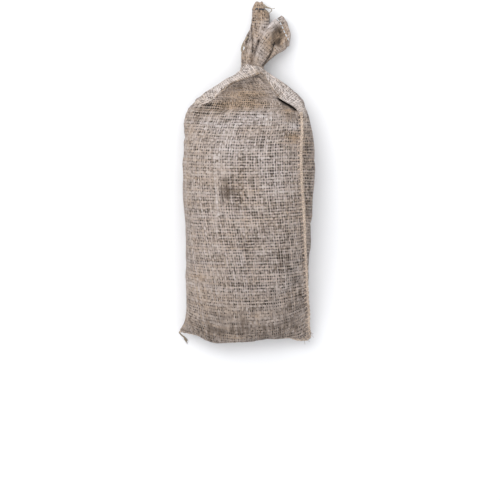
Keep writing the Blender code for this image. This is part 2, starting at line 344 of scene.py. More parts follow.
knot.add(smooth_run(knot_run, 90), KNOT_STRAND_RADIUS, 7)
for strand in range(BRUSH_STRANDS):
    spread = knot_across * random.uniform(-1, 1) + knot_up * random.uniform(-0.5, 1)
    reach = random.uniform(*BRUSH_REACH)
    end = tail_run[-1] + knot_along * reach + spread * reach * 0.5
    knot.add(smooth_run([tail_run[-6], tail_run[-1], end], 8), BRUSH_RADIUS, 4)
tail_knot = knot.piece("tail_knot", tail_twine)
for piece in (chain_tail, tail_knot):
    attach(piece, "root")
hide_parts("chain_tail")

# ---------------------------------------------------------------- sack cloth
# The body: one length of plain-woven hessian, filled and lying on its back. Pairs of thin jute
# yarn cross every 5 mm round the sack and every 6 mm along it, and leave small open holes.
PITCH_ROUND = 0.005
PITCH_ALONG = 0.006
PAIRS_ROUND = 132
PAIRS_ALONG = 108

# One row for each girth, from the sewn foot to the neck: where its crown, its edges and its belly
# lie along the sack, its left and right edges across, the heights of these edges, of the crown and
# of the belly, and how far the sewn edge lies in from the right.
GIRTHS = [
    (-0.3350, -0.3225, -0.3350, -0.1360, 0.1265, 0.028, 0.028, 0.026, 0.026, 0.000),
    (-0.3480, -0.3180, -0.3310, -0.1320, 0.1275, 0.030, 0.031, 0.040, 0.013, 0.000),
    (-0.3440, -0.3080, -0.3210, -0.1280, 0.1275, 0.034, 0.035, 0.052, 0.004, 0.001),
    (-0.3230, -0.2920, -0.3040, -0.1250, 0.1275, 0.038, 0.039, 0.065, -0.002, 0.001),
    (-0.2900, -0.2700, -0.2800, -0.1230, 0.1270, 0.042, 0.045, 0.080, -0.003, 0.002),
    (-0.2450, -0.2360, -0.2420, -0.1230, 0.1260, 0.046, 0.050, 0.098, -0.003, 0.003),
    (-0.1900, -0.1900, -0.1900, -0.1230, 0.1270, 0.049, 0.054, 0.114, -0.003, 0.006),
    (-0.1200, -0.1200, -0.1200, -0.1250, 0.1310, 0.051, 0.058, 0.125, -0.003, 0.013),
    (-0.0400, -0.0400, -0.0400, -0.1290, 0.1360, 0.051, 0.060, 0.126, -0.003, 0.022),
    (0.0350, 0.0350, 0.0350, -0.1280, 0.1390, 0.050, 0.060, 0.120, -0.003, 0.028),
    (0.0880, 0.0880, 0.0880, -0.1250, 0.1330, 0.049, 0.058, 0.110, -0.002, 0.020),
    (0.1170, 0.1170, 0.1160, -0.1215, 0.1270, 0.048, 0.056, 0.097, 0.003, 0.015),
    (0.1410, 0.1400, 0.1380, -0.1105, 0.1210, 0.048, 0.055, 0.086, 0.009, 0.014),
    (0.1630, 0.1620, 0.1600, -0.0850, 0.1040, 0.050, 0.055, 0.079, 0.016, 0.018),
    (0.1840, 0.1830, 0.1810, -0.0515, 0.0775, 0.052, 0.055, 0.076, 0.022, 0.018),
    (0.2000, 0.2000, 0.1980, -0.0240, 0.0510, 0.051, 0.053, 0.073, 0.025, 0.014),
    (0.2110, 0.2110, 0.2100, -0.0110, 0.0350, 0.048, 0.049, 0.069, 0.025, 0.010),
    (0.2215, 0.2215, 0.2215, -0.0090, 0.0310, 0.046, 0.046, 0.065, 0.026, 0.008),
]
GIRTH_STEPS = 8
ANGLE_STEPS = 1320

# How square the crown and the belly are in section, where 2 is an ellipse, and how sharply a
# girth's crown and belly turn back to its edges.
CROWN_SQUARE = 2.35
BELLY_SQUARE = 3.4
EDGE_TURN = 2.5

# The sewn foot waves: where it does so across the sack, over what reach, and how far along.
FOOT_GIRTHS = 3
FOOT_NUDGES = [
    (-0.066, 0.028, -0.0088),
    (0.036, 0.026, 0.0070),
    (0.117, 0.029, -0.0150),
]

# The neck's end is cut at a slant: how much shorter it is at its left, and for each metre to the
# right of there.
NECK_GIRTHS = (14, 17)
NECK_LEFT = -0.009
NECK_SHORT = 0.0035
NECK_SLANT = 0.188

# Folds and hollows of the upper side, seen from above: a run, its width, its height, and how much
# darker it is: painted shade with some grime in the hollows, deepest in the slit under the right
# shoulder, and one lighter line of yarn down the left of the face.
FOLDS = [
    ([(-0.112, 0.138), (-0.066, 0.166), (-0.018, 0.192), (0.010, 0.206)], 0.010, 0.0060, 0),
    ([(-0.046, 0.160), (-0.0205, 0.1730), (-0.0062, 0.1765), (0.0103, 0.1800), (0.0195, 0.1890),
      (0.0250, 0.1960)], 0.0095, -0.0070, 0.06),
    ([(0.036, 0.208), (0.066, 0.180), (0.092, 0.158), (0.110, 0.128)], 0.014, 0.0060, 0),
    # The slit under the right shoulder, painted near black as deep shadow.
    ([(0.0690, 0.1500), (0.0738, 0.1462), (0.0861, 0.1396), (0.0964, 0.1332), (0.1025, 0.1290)],
     0.0036, -0.0150, 1.60),
    ([(-0.0300, 0.1680), (-0.0205, 0.1735), (-0.0062, 0.1770), (0.0103, 0.1795), (0.0170, 0.1850)],
     0.0042, -0.0024, 0.12),
    ([(0.034, 0.190), (0.046, 0.176), (0.056, 0.162), (0.064, 0.152)], 0.010, -0.0020, 0.0),
    ([(-0.088, 0.100), (-0.045, 0.118), (0.008, 0.123), (0.045, 0.114), (0.096, 0.090)],
     0.012, 0.0055, 0),
    ([(-0.086, 0.130), (-0.056, 0.124)], 0.012, -0.0055, 0.15),
    ([(-0.040, 0.146), (-0.046, 0.128)], 0.008, -0.0035, 0.25),
    ([(0.084, 0.126), (0.106, 0.112)], 0.012, -0.0035, 0.30),
    ([(-0.0600, 0.0450), (-0.0580, -0.0800), (-0.0570, -0.1500), (-0.0590, -0.2620)],
     0.0034, 0.0014, -0.30),
    ([(-0.040, 0.010), (0.020, -0.030), (0.090, -0.020)], 0.035, -0.0020, 0),
    ([(-0.090, -0.200), (0.000, -0.235), (0.080, -0.215)], 0.030, 0.0016, 0),
    ([(0.070, -0.262), (0.112, -0.225)], 0.007, -0.0022, 0.20),
    ([(0.078, -0.285), (0.116, -0.240)], 0.006, -0.0018, 0.20),
    ([(0.096, -0.296), (0.120, -0.262)], 0.005, -0.0016, 0.20),
    ([(-0.128, -0.316), (-0.095, -0.290), (-0.060, -0.282)], 0.011, 0.0026, 0),
]

# Pleats of the gathered neck: where each is round the sack, as a share of the girth from the seam,
# how far down the sack it runs, as a girth, and how deep it gets.
PLEATS = [
    (0.060, 12.0, 0.008),
    (0.455, 12.2, 0.008),
    (0.505, 11.0, 0.010),
    (0.560, 10.6, 0.011),
    (0.615, 11.6, 0.010),
    (0.670, 10.2, 0.012),
    (0.725, 11.2, 0.011),
    (0.780, 10.4, 0.012),
    (0.835, 11.4, 0.010),
    (0.885, 10.4, 0.011),
    (0.935, 11.2, 0.010),
    (0.975, 12.2, 0.007),
]
PLEAT_FULL = 16.5
PLEAT_GROWTH = 0.8
PLEAT_WIDTH = 0.0022
PLEAT_LEAN = 0.7
PLEAT_PUFF = 0.08
PUFF_REACH = 3.6

# Where along the sack its shorter sides start to take up less cloth than its crown, and how nearly
# the yarns across keep level over the shoulders, where the yarns along them draw in.
SPARE_FROM = 0.30
WEFT_LEVEL = 0.85


def rise(low, high, value):
    """0 below low, 1 above high, and a smooth rise between, or a fall where low is above high."""
    f = np.clip((value - low) / (high - low), 0, 1)
    return f * f * (3 - 2 * f)


def hump(off):
    """1 where off is 0, falling smoothly towards 0 on both sides of it."""
    return np.exp(-(off**2))


def near_run(x, y, run, width):
    """1 on a run of points seen from above, falling to a third one width off it."""
    nearest = np.full(np.shape(x), np.inf)
    for (ax, ay), (bx, by) in zip(run, run[1:]):
        along_x, along_y = bx - ax, by - ay
        share = ((x - ax) * along_x + (y - ay) * along_y) / (along_x**2 + along_y**2)
        share = np.clip(share, 0, 1)
        nearest = np.minimum(nearest, np.hypot(x - ax - share * along_x, y - ay - share * along_y))
    return hump(nearest / width)


def girths_at(at):
    """The cloth's girths, each from the sewn edge up over the crown and back, closely sampled."""
    rows = through(GIRTHS, at)[:, :, None]
    top, side, under, left, right, z_left, z_right, z_top, z_under, seam = (
        rows[:, k] for k in range(10)
    )
    inward = np.minimum(1 - 2 * seam / (right - left), 1.0)
    first = np.arccos(inward ** (CROWN_SQUARE / 2))
    angle = first + math.tau * np.arange(ANGLE_STEPS + 1) / ANGLE_STEPS
    out, up = np.cos(angle), np.sin(angle)
    power = 2 / np.where(up >= 0, CROWN_SQUARE, BELLY_SQUARE)
    across = np.sign(out) * np.abs(out) ** power
    lift = np.abs(up) ** power
    middle_y = np.where(up >= 0, top, under)
    middle_z = np.where(up >= 0, z_top, z_under)
    edge_z = z_left + (z_right - z_left) * (1 + across) / 2
    x = (left + right) / 2 + (right - left) / 2 * across
    y = side + (middle_y - side) * (1 - np.abs(across) ** EDGE_TURN)
    z = edge_z + (middle_z - edge_z) * lift
    for nudge_x, reach, nudge_y in FOOT_NUDGES:
        y = y + (1 - rise(0, FOOT_GIRTHS, at))[:, None] * nudge_y * hump((x - nudge_x) / reach)
    short = NECK_SHORT + NECK_SLANT * (x - NECK_LEFT)
    y = y - rise(*NECK_GIRTHS, at)[:, None] * short
    for run, width, height, _ in FOLDS:
        z = z + height * near_run(x, y, run, width) * np.sqrt(np.maximum(up, 0))
    return np.stack([x, y, z], axis=2)


def pleated(girths, at):
    """The girths with their pleats drawn in, and the cloth between them puffed out."""
    reached = lengths_along(girths)
    around = reached[:, -1:]
    share = reached / around
    along = unit(np.gradient(girths, axis=1))
    inward = unit(np.cross(along, np.gradient(girths, axis=0)))
    moved = girths.copy()
    for where, first, depth in PLEATS:
        drawn = (depth * rise(first, PLEAT_FULL, at) ** PLEAT_GROWTH)[:, None]
        gap = (np.abs(share - where) * around) / PLEAT_WIDTH
        inset = drawn * hump(gap)
        moved += inset[:, :, None] * (inward + PLEAT_LEAN * along)
        puff = PLEAT_PUFF * drawn * hump(gap / PUFF_REACH)
        moved -= (puff - PLEAT_PUFF * inset)[:, :, None] * inward
    return moved


def cloth_lattice(pleats, columns, rows):
    """Places of the cloth, in rows from the foot seam to the neck, each evenly round the sack."""
    count = (len(GIRTHS) - 1) * GIRTH_STEPS + 1
    at = np.linspace(0, len(GIRTHS) - 1, count)
    girths = girths_at(at)
    if pleats:
        girths = pleated(girths, at)
    reached = lengths_along(girths)
    shares = np.arange(columns) / columns
    rings = np.stack([
        resample(ring, distance, shares * distance[-1])
        for ring, distance in zip(girths, reached)
    ])
    half = columns // 2
    rings[0, half + 1:] = rings[0, 1:half][::-1]
    lines = rings.transpose(1, 0, 2)
    distance = lengths_along(lines)
    whole = distance[:, -1]
    cloth = np.linspace(0, whole.max(), rows)
    spare = whole.max() - whole
    usual = distance.mean(axis=0)
    level = np.interp(np.linspace(0, usual[-1], rows), usual, at)
    made = np.empty((columns, rows, 3))
    for i, line in enumerate(lines):
        taken = cloth - spare[i] * rise(SPARE_FROM, 1.0, cloth / whole.max())
        taken += (np.interp(level, at, distance[i]) - taken) * WEFT_LEVEL
        made[i] = resample(line, distance[i], np.maximum.accumulate(np.clip(taken, 0, whole[i])))
    return made.transpose(1, 0, 2)


lattice = cloth_lattice(True, 2 * PAIRS_ROUND, 2 * PAIRS_ALONG + 1)

# The filling pushes the cloth out against its seams. That is worked out on a lattice of one place
# for each pair of yarns, held at the foot, the neck, the sewn edge and the floor, and only the
# wrinkles and hollows that it makes are kept.
SWELL_FRAMES = 20
SWELL_PRESSURE = 4.0
SWELL_SLACK = 0.025
SWELL_MOST = 0.006
BROAD_PASSES = 60
HELD_FOOT = 3
HELD_NECK = (PAIRS_ALONG - 24, PAIRS_ALONG - 10)
HELD_SEAM = 2
HELD_FLOOR = (0.0005, 0.006)


def grid_faces(rows, columns, closed):
    """Faces of a lattice, which point outwards on the sack."""
    faces = []
    for r in range(rows - 1):
        for c in range(columns if closed else columns - 1):
            d = (c + 1) % columns
            faces.append((
                r * columns + c, (r + 1) * columns + c, (r + 1) * columns + d, r * columns + d
            ))
    return faces


def averaged(field, passes):
    """A lattice's values, each pass a little closer to those beside them."""
    for _ in range(passes):
        padded = np.concatenate([field[:1], field, field[-1:]])
        field = (padded[:-2] + 2 * field + padded[2:]) / 4
        field = (np.roll(field, 1, axis=1) + 2 * field + np.roll(field, -1, axis=1)) / 4
    return field


def swollen(places, held):
    """How far the filling moves the cloth at each place of a closed lattice."""
    rows, columns = places.shape[:2]
    swelling = shaped("swelling", places.reshape(-1, 3), grid_faces(rows, columns, True))
    pinned = swelling.vertex_groups.new(name="held")
    for index, share in enumerate(held.ravel()):
        if share > 0:
            pinned.add([index], float(share), "REPLACE")
    cloth = swelling.modifiers.new("cloth", "CLOTH")
    cloth.settings.quality = 6
    cloth.settings.mass = 0.3
    cloth.settings.tension_stiffness = 12
    cloth.settings.compression_stiffness = 12
    cloth.settings.shear_stiffness = 4
    cloth.settings.bending_stiffness = 0.6
    cloth.settings.vertex_group_mass = "held"
    cloth.settings.shrink_min = -SWELL_SLACK
    cloth.settings.use_pressure = True
    cloth.settings.uniform_pressure_force = SWELL_PRESSURE
    cloth.settings.effector_weights.gravity = 0
    cloth.point_cache.frame_start = 1
    cloth.point_cache.frame_end = SWELL_FRAMES
    for step in range(1, SWELL_FRAMES + 1):
        bpy.context.scene.frame_set(step)
    settled = swelling.evaluated_get(bpy.context.evaluated_depsgraph_get()).to_mesh()
    moved = np.empty(rows * columns * 3)
    settled.vertices.foreach_get("co", moved)
    bpy.context.scene.frame_set(1)
    bpy.data.objects.remove(swelling)
    return moved.reshape(rows, columns, 3) - places


plain = cloth_lattice(False, PAIRS_ROUND, PAIRS_ALONG + 1)
row, column = np.indices(plain.shape[:2])
from_seam = np.minimum(column, PAIRS_ROUND - column)
held = np.maximum.reduce([
    1 - rise(0, HELD_FOOT, row),
    rise(*HELD_NECK, row),
    1 - rise(0, HELD_SEAM, from_seam),
    1 - rise(*HELD_FLOOR, plain[:, :, 2]),
])
moved = swollen(plain, held)
moved *= np.minimum(1, SWELL_MOST / (np.linalg.norm(moved, axis=2, keepdims=True) + TINY))
moved -= averaged(moved, BROAD_PASSES)
fine_rows = np.linspace(0, PAIRS_ALONG, len(lattice))
low = np.clip(fine_rows.astype(int), 0, PAIRS_ALONG - 1)
part = (fine_rows - low)[:, None, None]
moved = moved[low] * (1 - part) + moved[low + 1] * part
lattice[:, 0::2] += moved
lattice[:, 1::2] += (moved + np.roll(moved, -1, axis=1)) / 2

# The yarns' own relief: crossings stand out, and the cloth dips at each open hole. The yarns also
# wander off their even pitch.
CROSSING_RISE = 0.00030
HOLE_DROP = 0.00065
WEAVE_BUMP = 0.0009
ROUND_WANDER = 0.0022
ALONG_WANDER = 0.0024
FOOT_HOLD = 8
FLOOR_CLEAR = 0.0002
MARK_LIMITS = (-0.6, 1.6)

# Marks of wear, and of painted light and shade, on the upper side, seen from above: middle, reach
# across and along, and strength.
SLACK_PATCHES = [
    (-0.070, 0.128, 0.024, 0.020, 0.5),
    (-0.0768, 0.1375, 0.011, 0.006, 1.5),
    (-0.0809, 0.1210, 0.011, 0.005, 1.5),
    (-0.0594, 0.1343, 0.007, 0.006, 1.5),
    (-0.1036, 0.1220, 0.007, 0.004, 1.4),
    (-0.0585, -0.0700, 0.003, 0.090, -0.7),
    (-0.0450, 0.1100, 0.020, 0.010, 0.4),
    (0.0100, 0.1480, 0.055, 0.016, 0.30),
    (0.0225, -0.2645, 0.040, 0.0030, 0.8),
    (0.0490, -0.3022, 0.013, 0.0028, 0.8),
    (-0.0164, -0.2255, 0.018, 0.0028, 0.8),
    (0.0300, -0.2120, 0.030, 0.0028, 0.6),
    (0.1107, -0.2480, 0.006, 0.0028, 0.8),
    (0.1085, -0.2820, 0.010, 0.0030, 0.7),
    (0.0185, -0.0668, 0.042, 0.0022, -1.0),
    (-0.0500, 0.0000, 0.030, 0.0022, -0.8),
    (0.0100, 0.0820, 0.025, 0.0022, -0.8),
    (0.030, -0.010, 0.075, 0.090, 0.30),
    (-0.010, -0.150, 0.080, 0.060, 0.25),
    (0.075, -0.190, 0.030, 0.050, 0.30),
    (0.125, 0.000, 0.008, 0.090, 0.45),
    (-0.125, -0.080, 0.016, 0.220, -0.45),
    (-0.085, -0.215, 0.045, 0.060, -0.35),
    (0.010, -0.300, 0.140, 0.030, -0.30),
    (-0.080, 0.175, 0.050, 0.022, -0.50),
    (0.090, 0.160, 0.040, 0.040, -0.55),
]
# Darker places: small stains and dark spots, and painted shade in the hollow below the shoulder
# fold, under the right shoulder's slit and down the right side beyond the seam; one wide patch
# darkens the foot, and the last three are lighter lines.
SOIL_AND_SHADE_PATCHES = [
    (-0.0440, -0.0460, 0.009, 0.034, 0.42),
    (-0.0330, -0.0400, 0.021, 0.026, 0.50),
    (-0.0120, -0.0560, 0.007, 0.012, 0.40),
    (0.0600, -0.1830, 0.026, 0.016, 0.40),
    (0.0850, -0.1700, 0.012, 0.020, 0.25),
    (0.0900, 0.1240, 0.022, 0.018, 0.14),
    (0.0500, 0.1300, 0.024, 0.012, 0.10),
    (0.0060, 0.1780, 0.022, 0.007, 0.10),
    (-0.0240, 0.1740, 0.022, 0.007, 0.06),
    (0.0170, 0.1920, 0.008, 0.010, 0.10),
    (-0.0440, 0.1400, 0.007, 0.016, 0.35),
    (-0.0950, 0.1150, 0.016, 0.010, 0.25),
    (0.1300, 0.0200, 0.006, 0.120, 0.35),
    (0.1050, -0.2500, 0.022, 0.040, 0.28),
    (0.0000, -0.3160, 0.130, 0.034, 0.56),
    (0.1224, 0.0460, 0.004, 0.006, 0.80),
    (0.1230, 0.0240, 0.004, 0.009, 0.80),
    (0.0180, -0.1325, 0.0026, 0.0026, 1.30),
    (-0.0006, -0.1558, 0.0024, 0.0024, 1.20),
    (-0.0105, -0.0595, 0.0026, 0.0026, 1.20),
    (-0.0834, -0.0223, 0.0020, 0.0046, 1.30),
    (-0.0996, -0.0830, 0.0026, 0.0026, 1.10),
    (-0.0549, -0.3320, 0.0020, 0.0060, 1.10),
    (0.1035, -0.3157, 0.0024, 0.0024, 1.20),
    (0.0185, -0.0668, 0.042, 0.0020, -0.50),
    (-0.0500, 0.0000, 0.030, 0.0020, -0.50),
    (0.0100, 0.0820, 0.025, 0.0020, -0.50),
]
# Paler and browner places: sun-bleaching and wear, and partly painted light and shade. The pale
# patches on the shoulders and along the ridge below the neck are partly painted light, on slopes
# that face the key light; the brown ones in the hollow between them, under the slit and beside the
# seam are painted shade.
BLEACH_AND_SHADING_PATCHES = [
    (-0.090, 0.160, 0.045, 0.016, 0.9),
    (-0.050, 0.186, 0.030, 0.010, 0.9),
    (0.072, 0.168, 0.030, 0.026, 0.9),
    (0.108, 0.130, 0.020, 0.030, 0.8),
    (0.0205, 0.1130, 0.050, 0.014, 0.9),
    (0.1000, 0.0930, 0.018, 0.007, 0.9),
    (-0.0550, 0.0970, 0.040, 0.012, 0.6),
    (0.020, 0.050, 0.090, 0.045, 0.5),
    (0.060, -0.020, 0.040, 0.050, 0.5),
    (-0.055, 0.060, 0.050, 0.050, 0.4),
    (-0.020, 0.135, 0.060, 0.012, -0.8),
    (0.000, 0.160, 0.070, 0.020, -0.8),
    (0.095, 0.125, 0.022, 0.018, -0.9),
    (0.0960, 0.0720, 0.012, 0.010, -1.0),
    (0.0200, -0.200, 0.110, 0.070, 0.35),
    (-0.020, -0.300, 0.120, 0.040, -0.10),
    (-0.045, -0.075, 0.060, 0.045, 0.35),
    (-0.0585, -0.0700, 0.0034, 0.0900, 0.3),
    (-0.0130, -0.1000, 0.0018, 0.0500, 0.3),
]


def outward(places, closed):
    """The direction straight out of a lattice's cloth at each place."""
    if closed:
        round_it = np.roll(places, -1, axis=1) - np.roll(places, 1, axis=1)
    else:
        round_it = np.gradient(places, axis=1)
    return unit(np.cross(np.gradient(places, axis=0), round_it))


def cloud(places, size, offset):
    """Smooth noise from about -1 to 1 over a lattice's places."""
    spots = places.reshape(-1, 3) / size + offset
    made = np.array([noise.noise(Vector(spot)) for spot in spots])
    return made.reshape(places.shape[:2])


def patched(places, patches):
    """How strongly a table of patches marks each place."""
    x, y = places[:, :, 0], places[:, :, 1]
    made = np.zeros(x.shape)
    for middle_x, middle_y, across, along, strength in patches:
        far = ((x - middle_x) / across) ** 2 + ((y - middle_y) / along) ** 2
        made += strength * np.exp(-far)
    return made


def waffle(places, out, slack, per_pair):
    """The places with the yarns' crossings raised and the holes between them sunk."""
    row, column = np.indices(places.shape[:2])
    round_it = np.cos(math.tau * column / per_pair)
    along = np.cos(math.tau * row / per_pair)
    crossing = np.maximum(-round_it, 0) * np.maximum(-along, 0)
    hole = np.maximum(round_it, 0) * np.maximum(along, 0)
    height = CROSSING_RISE * crossing - HOLE_DROP * hole * (0.4 + slack)
    return places + out * height[:, :, None]


def woven(name, places, faces, uv, marks, finish):
    """A piece of cloth on a lattice. Its weave map runs in metres of cloth."""
    made = shaped(name, places.reshape(-1, 3), faces)
    layer = made.data.uv_layers.new(name="weave")
    layer.data.foreach_set("uv", uv.ravel())
    for mark, values in marks.items():
        kept = made.data.attributes.new(mark, "FLOAT", "POINT")
        kept.data.foreach_set("value", np.clip(values, *MARK_LIMITS).ravel())
    made.data.shade_smooth()
    made.data.materials.append(finish)
    return made


def weave_map(rows, columns, closed, per_pair, first=(0.0, 0.0)):
    """The weave map's corners, in the order of the lattice's faces."""
    r, c = np.indices((rows - 1, columns if closed else columns - 1))
    corners = np.stack([
        np.stack([c + dc, r + dr], axis=2)
        for dr, dc in ((0, 0), (1, 0), (1, 1), (0, 1))
    ], axis=2)
    return corners * (PITCH_ROUND / per_pair, PITCH_ALONG / per_pair) + first


def hessian_finish(
    name, pale, bleached, worn, brown, deep=(0.088, 0.062, 0.045), gap=(0.008, 0.006, 0.005)
):
    """Plain weave of paired jute yarns. slack opens its holes; the other marks darken, grey or
    brown it, with stains and bleaching and with painted light and shade.
    """
    made, shader, start = finish_of(name, 0.95, 0.1)
    u, v = start.node("ShaderNodeUVMap", {"uv_map": "weave"}).coordinates()
    where = start.node("ShaderNodeTexCoord", out=3)
    slack, soil_and_shade, bleach_and_shading = (
        start.node("ShaderNodeAttribute", {"attribute_name": mark}, out=2)
        for mark in ("slack", "soil_and_shade", "bleach_and_shading")
    )
    round_it = (u + start.noise(110, 1, where) * ROUND_WANDER) / PITCH_ROUND
    along = (v + start.noise(90, 1, where) * ALONG_WANDER) / PITCH_ALONG
    hole_at = start.spot((round_it + 0.5).math("FLOOR"), (along + 0.5).math("FLOOR"))
    open_by = start.node("ShaderNodeTexWhiteNoise", {"noise_dimensions": "2D"}, {"Vector": hole_at})
    loose = open_by * 0.95 + slack * 0.8 - 0.3

    def chance(index, seed):
        sockets = {"W": index + seed}
        return start.node("ShaderNodeTexWhiteNoise", {"noise_dimensions": "1D"}, sockets)

    def stretched(detail, *spot):
        return start.noise(1.0, detail, start.spot(*spot))

    def yarn(seed, place, here, other_way, sign):
        """One set of yarns: how it covers, rides, rounds and varies in lightness and hue."""
        index, off = place.math("FLOOR"), (place.math("FRACT") - 0.5).math("ABSOLUTE")
        slub = stretched(2, index * 3.7, other_way * 70, seed)
        fleck = stretched(1, index * 5.3, other_way * 230, seed)
        stretch = stretched(1, index * 2.9, other_way * 26, seed)
        half = 0.445 + (chance(index, seed) - 0.5) * 0.05 + (slub - 0.5) * 0.22 - loose * 0.20
        cover = off.ease(half + 0.045, half - 0.045)
        wave = ((here - 0.5 + index) * math.pi).math("COSINE") * sign
        plies = 1 - ((off / half - 0.5) * 2) ** 2.0
        tone = chance(index, seed + 31.7) * 0.16 + slub * 0.38
        tone = tone + fleck * 0.7 + stretch * 0.75 - 0.48
        hue = chance(index, seed + 63.1) * 0.5 + slub * 0.5
        return cover, wave, plies, tone, hue

    warp_cover, *of_warp = yarn(11.3, round_it, along, v, 1)
    weft_cover, *of_weft = yarn(57.1, along, round_it, u, -1)
    warp_over = (warp_cover * (1.5 + of_warp[0])) > (weft_cover * (1.5 + of_weft[0]))
    of_warp.append(stretched(3, u * 2600, v * 320))
    of_weft.append(stretched(3, u * 320, v * 2600))
    ride, plies, tone, hue, hair = (
        under + (over - under) * warp_over for over, under in zip(of_warp, of_weft)
    )
    cover = warp_cover.math("MAXIMUM", weft_cover)
    height = (0.55 + ride * 0.25 + plies * 0.2) * cover + hair * 0.12
    speck = start.noise(300, 1, where) - 0.5
    # ride and plies are painted shade on the yarns' relief: lighter over a yarn's crown and where
    # it rides over, darker towards deep at its edges and where it dips under. tone, hair and speck
    # are the yarns' own uneven colour.
    light = (
        0.44 + ride * 0.14 + plies * 0.16 + (tone - 0.5) * 1.5 + (hair - 0.5) * 0.6 + speck * 0.5
    ).ease(-0.1, 1.0)
    patch = start.noise(9, 3, where)
    fine_patch = start.noise(45, 3, where)
    across_run = stretched(2, u * 14, v * 95)
    streak = across_run + stretched(2, u * 110, v * 13) - 1
    blotch = (0.5 + (fine_patch - 0.5) * 0.9 + streak * 1.7).ease(-0.1, 1.1)
    # Darkening: stains, and the marks' painted shade in hollows and creases, broken up by blotches
    # and streaks.
    dirt_and_shade = soil_and_shade * (0.45 + blotch * 1.1) + (patch - 0.52) * 0.7
    dirt_and_shade = dirt_and_shade + (fine_patch - 0.5) * 0.5 + streak * 0.8
    # Paler or browner yarn: bleaching and wear, and the marks' painted light and shade.
    aged_and_shaded = bleach_and_shading + (patch - 0.5) * 0.9 + (across_run - 0.5) * 0.9 + (hue - 0.5) * 1.1
    yarn_colour = aged_and_shaded.ease(-0.15, 1.0).blend(pale, bleached)
    yarn_colour = (aged_and_shaded - 0.8).ease(0.0, 0.8).blend(yarn_colour, worn)
    yarn_colour = (0.25 - aged_and_shaded).ease(0.0, 0.7).blend(yarn_colour, brown)
    colour = light.blend(deep, yarn_colour)
    colour = (dirt_and_shade.ease(0.0, 1.3) * 0.85).blend(colour, deep)
    # The darkest places go to the gap colour: painted deep shadow in the slit under the right
    # shoulder and in the flaps' deepest creases, and a few small dark spots.
    colour = soil_and_shade.ease(1.15, 1.7).blend(colour, gap)
    # Where no yarn covers, the open holes show the gap colour: painted shade, the filling behind
    # them in shadow.
    cover.blend(gap, colour).feed(shader, "Base Color")
    relief = {"Distance": WEAVE_BUMP, "Strength": 0.9, "Height": height}
    start.node("ShaderNodeBump", {}, relief).feed(shader, "Normal")
    return made


hessian = hessian_finish(
    "hessian",
    pale=(0.440, 0.346, 0.278),
    bleached=(0.485, 0.417, 0.381),
    worn=(0.62, 0.556, 0.536),
    brown=(0.420, 0.305, 0.215),
)
rows, columns = lattice.shape[:2]
unevenness = 0.0011 * cloud(lattice, 0.034, 3.1) + 0.0006 * cloud(lattice, 0.013, 9.7)
foot_hold = rise(0, FOOT_HOLD, np.indices((rows, columns))[0])
lattice = lattice + outward(lattice, True) * (unevenness * foot_hold)[:, :, None]
out = outward(lattice, True)
facing_up = rise(-0.1, 0.3, out[:, :, 2])
slack = 0.35 + facing_up * patched(lattice, SLACK_PATCHES) + 0.25 * cloud(lattice, 0.03, 5.5)
# Darkening of the body: painted shade on cloth that turns away from the top, on its sides and
# underneath; on the upper side, the patches' stains and painted shade and the folds' painted shade.
soil_and_shade = 0.12 + facing_up * patched(lattice, SOIL_AND_SHADE_PATCHES) + 0.25 * (1 - facing_up)
for run, width, _, shade_and_grime in FOLDS:
    soil_and_shade += facing_up * shade_and_grime * near_run(lattice[:, :, 0], lattice[:, :, 1], run, width)
bleach_and_shading = 0.35 + facing_up * patched(lattice, BLEACH_AND_SHADING_PATCHES)
lattice = waffle(lattice, out * foot_hold[:, :, None], slack, 2)
lattice[:, :, 2] = np.maximum(lattice[:, :, 2], FLOOR_CLEAR)

# The neck's end turns in and closes inside, where the two flaps come out of it.
RIM_TURNS = [(0.94, -0.0004), (0.80, -0.0030), (0.45, -0.0065), (0.04, -0.0080)]  # share, y
end = lattice[-1]
end_middle = end.mean(axis=0)
turned_in = [end_middle + (end - end_middle) * share + (0, back, 0) for share, back in RIM_TURNS]
whole_cloth = np.concatenate([lattice, turned_in])
whole_rows = len(whole_cloth)
marks = {
    mark: np.concatenate([values, np.repeat(values[-1:], len(RIM_TURNS), axis=0)])
    for mark, values in (("slack", slack), ("soil_and_shade", soil_and_shade), ("bleach_and_shading", bleach_and_shading))
}
sack_cloth = woven(
    "sack_cloth",
    whole_cloth,
    grid_faces(whole_rows, columns, True),
    weave_map(whole_rows, columns, True, 2),
    marks,
    hessian,
)
shut = bmesh.new()
shut.from_mesh(sack_cloth.data)
shut.verts.ensure_lookup_table()
foot_points = [vert for vert in shut.verts if vert.index < columns]
last_points = [vert for vert in shut.verts if vert.index >= (whole_rows - 1) * columns]
bmesh.ops.pointmerge(shut, verts=last_points, merge_co=last_points[0].co)
bmesh.ops.remove_doubles(shut, verts=foot_points, dist=1e-5)
shut.to_mesh(sack_cloth.data)
shut.free()
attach(sack_cloth, "root")
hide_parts("sack")

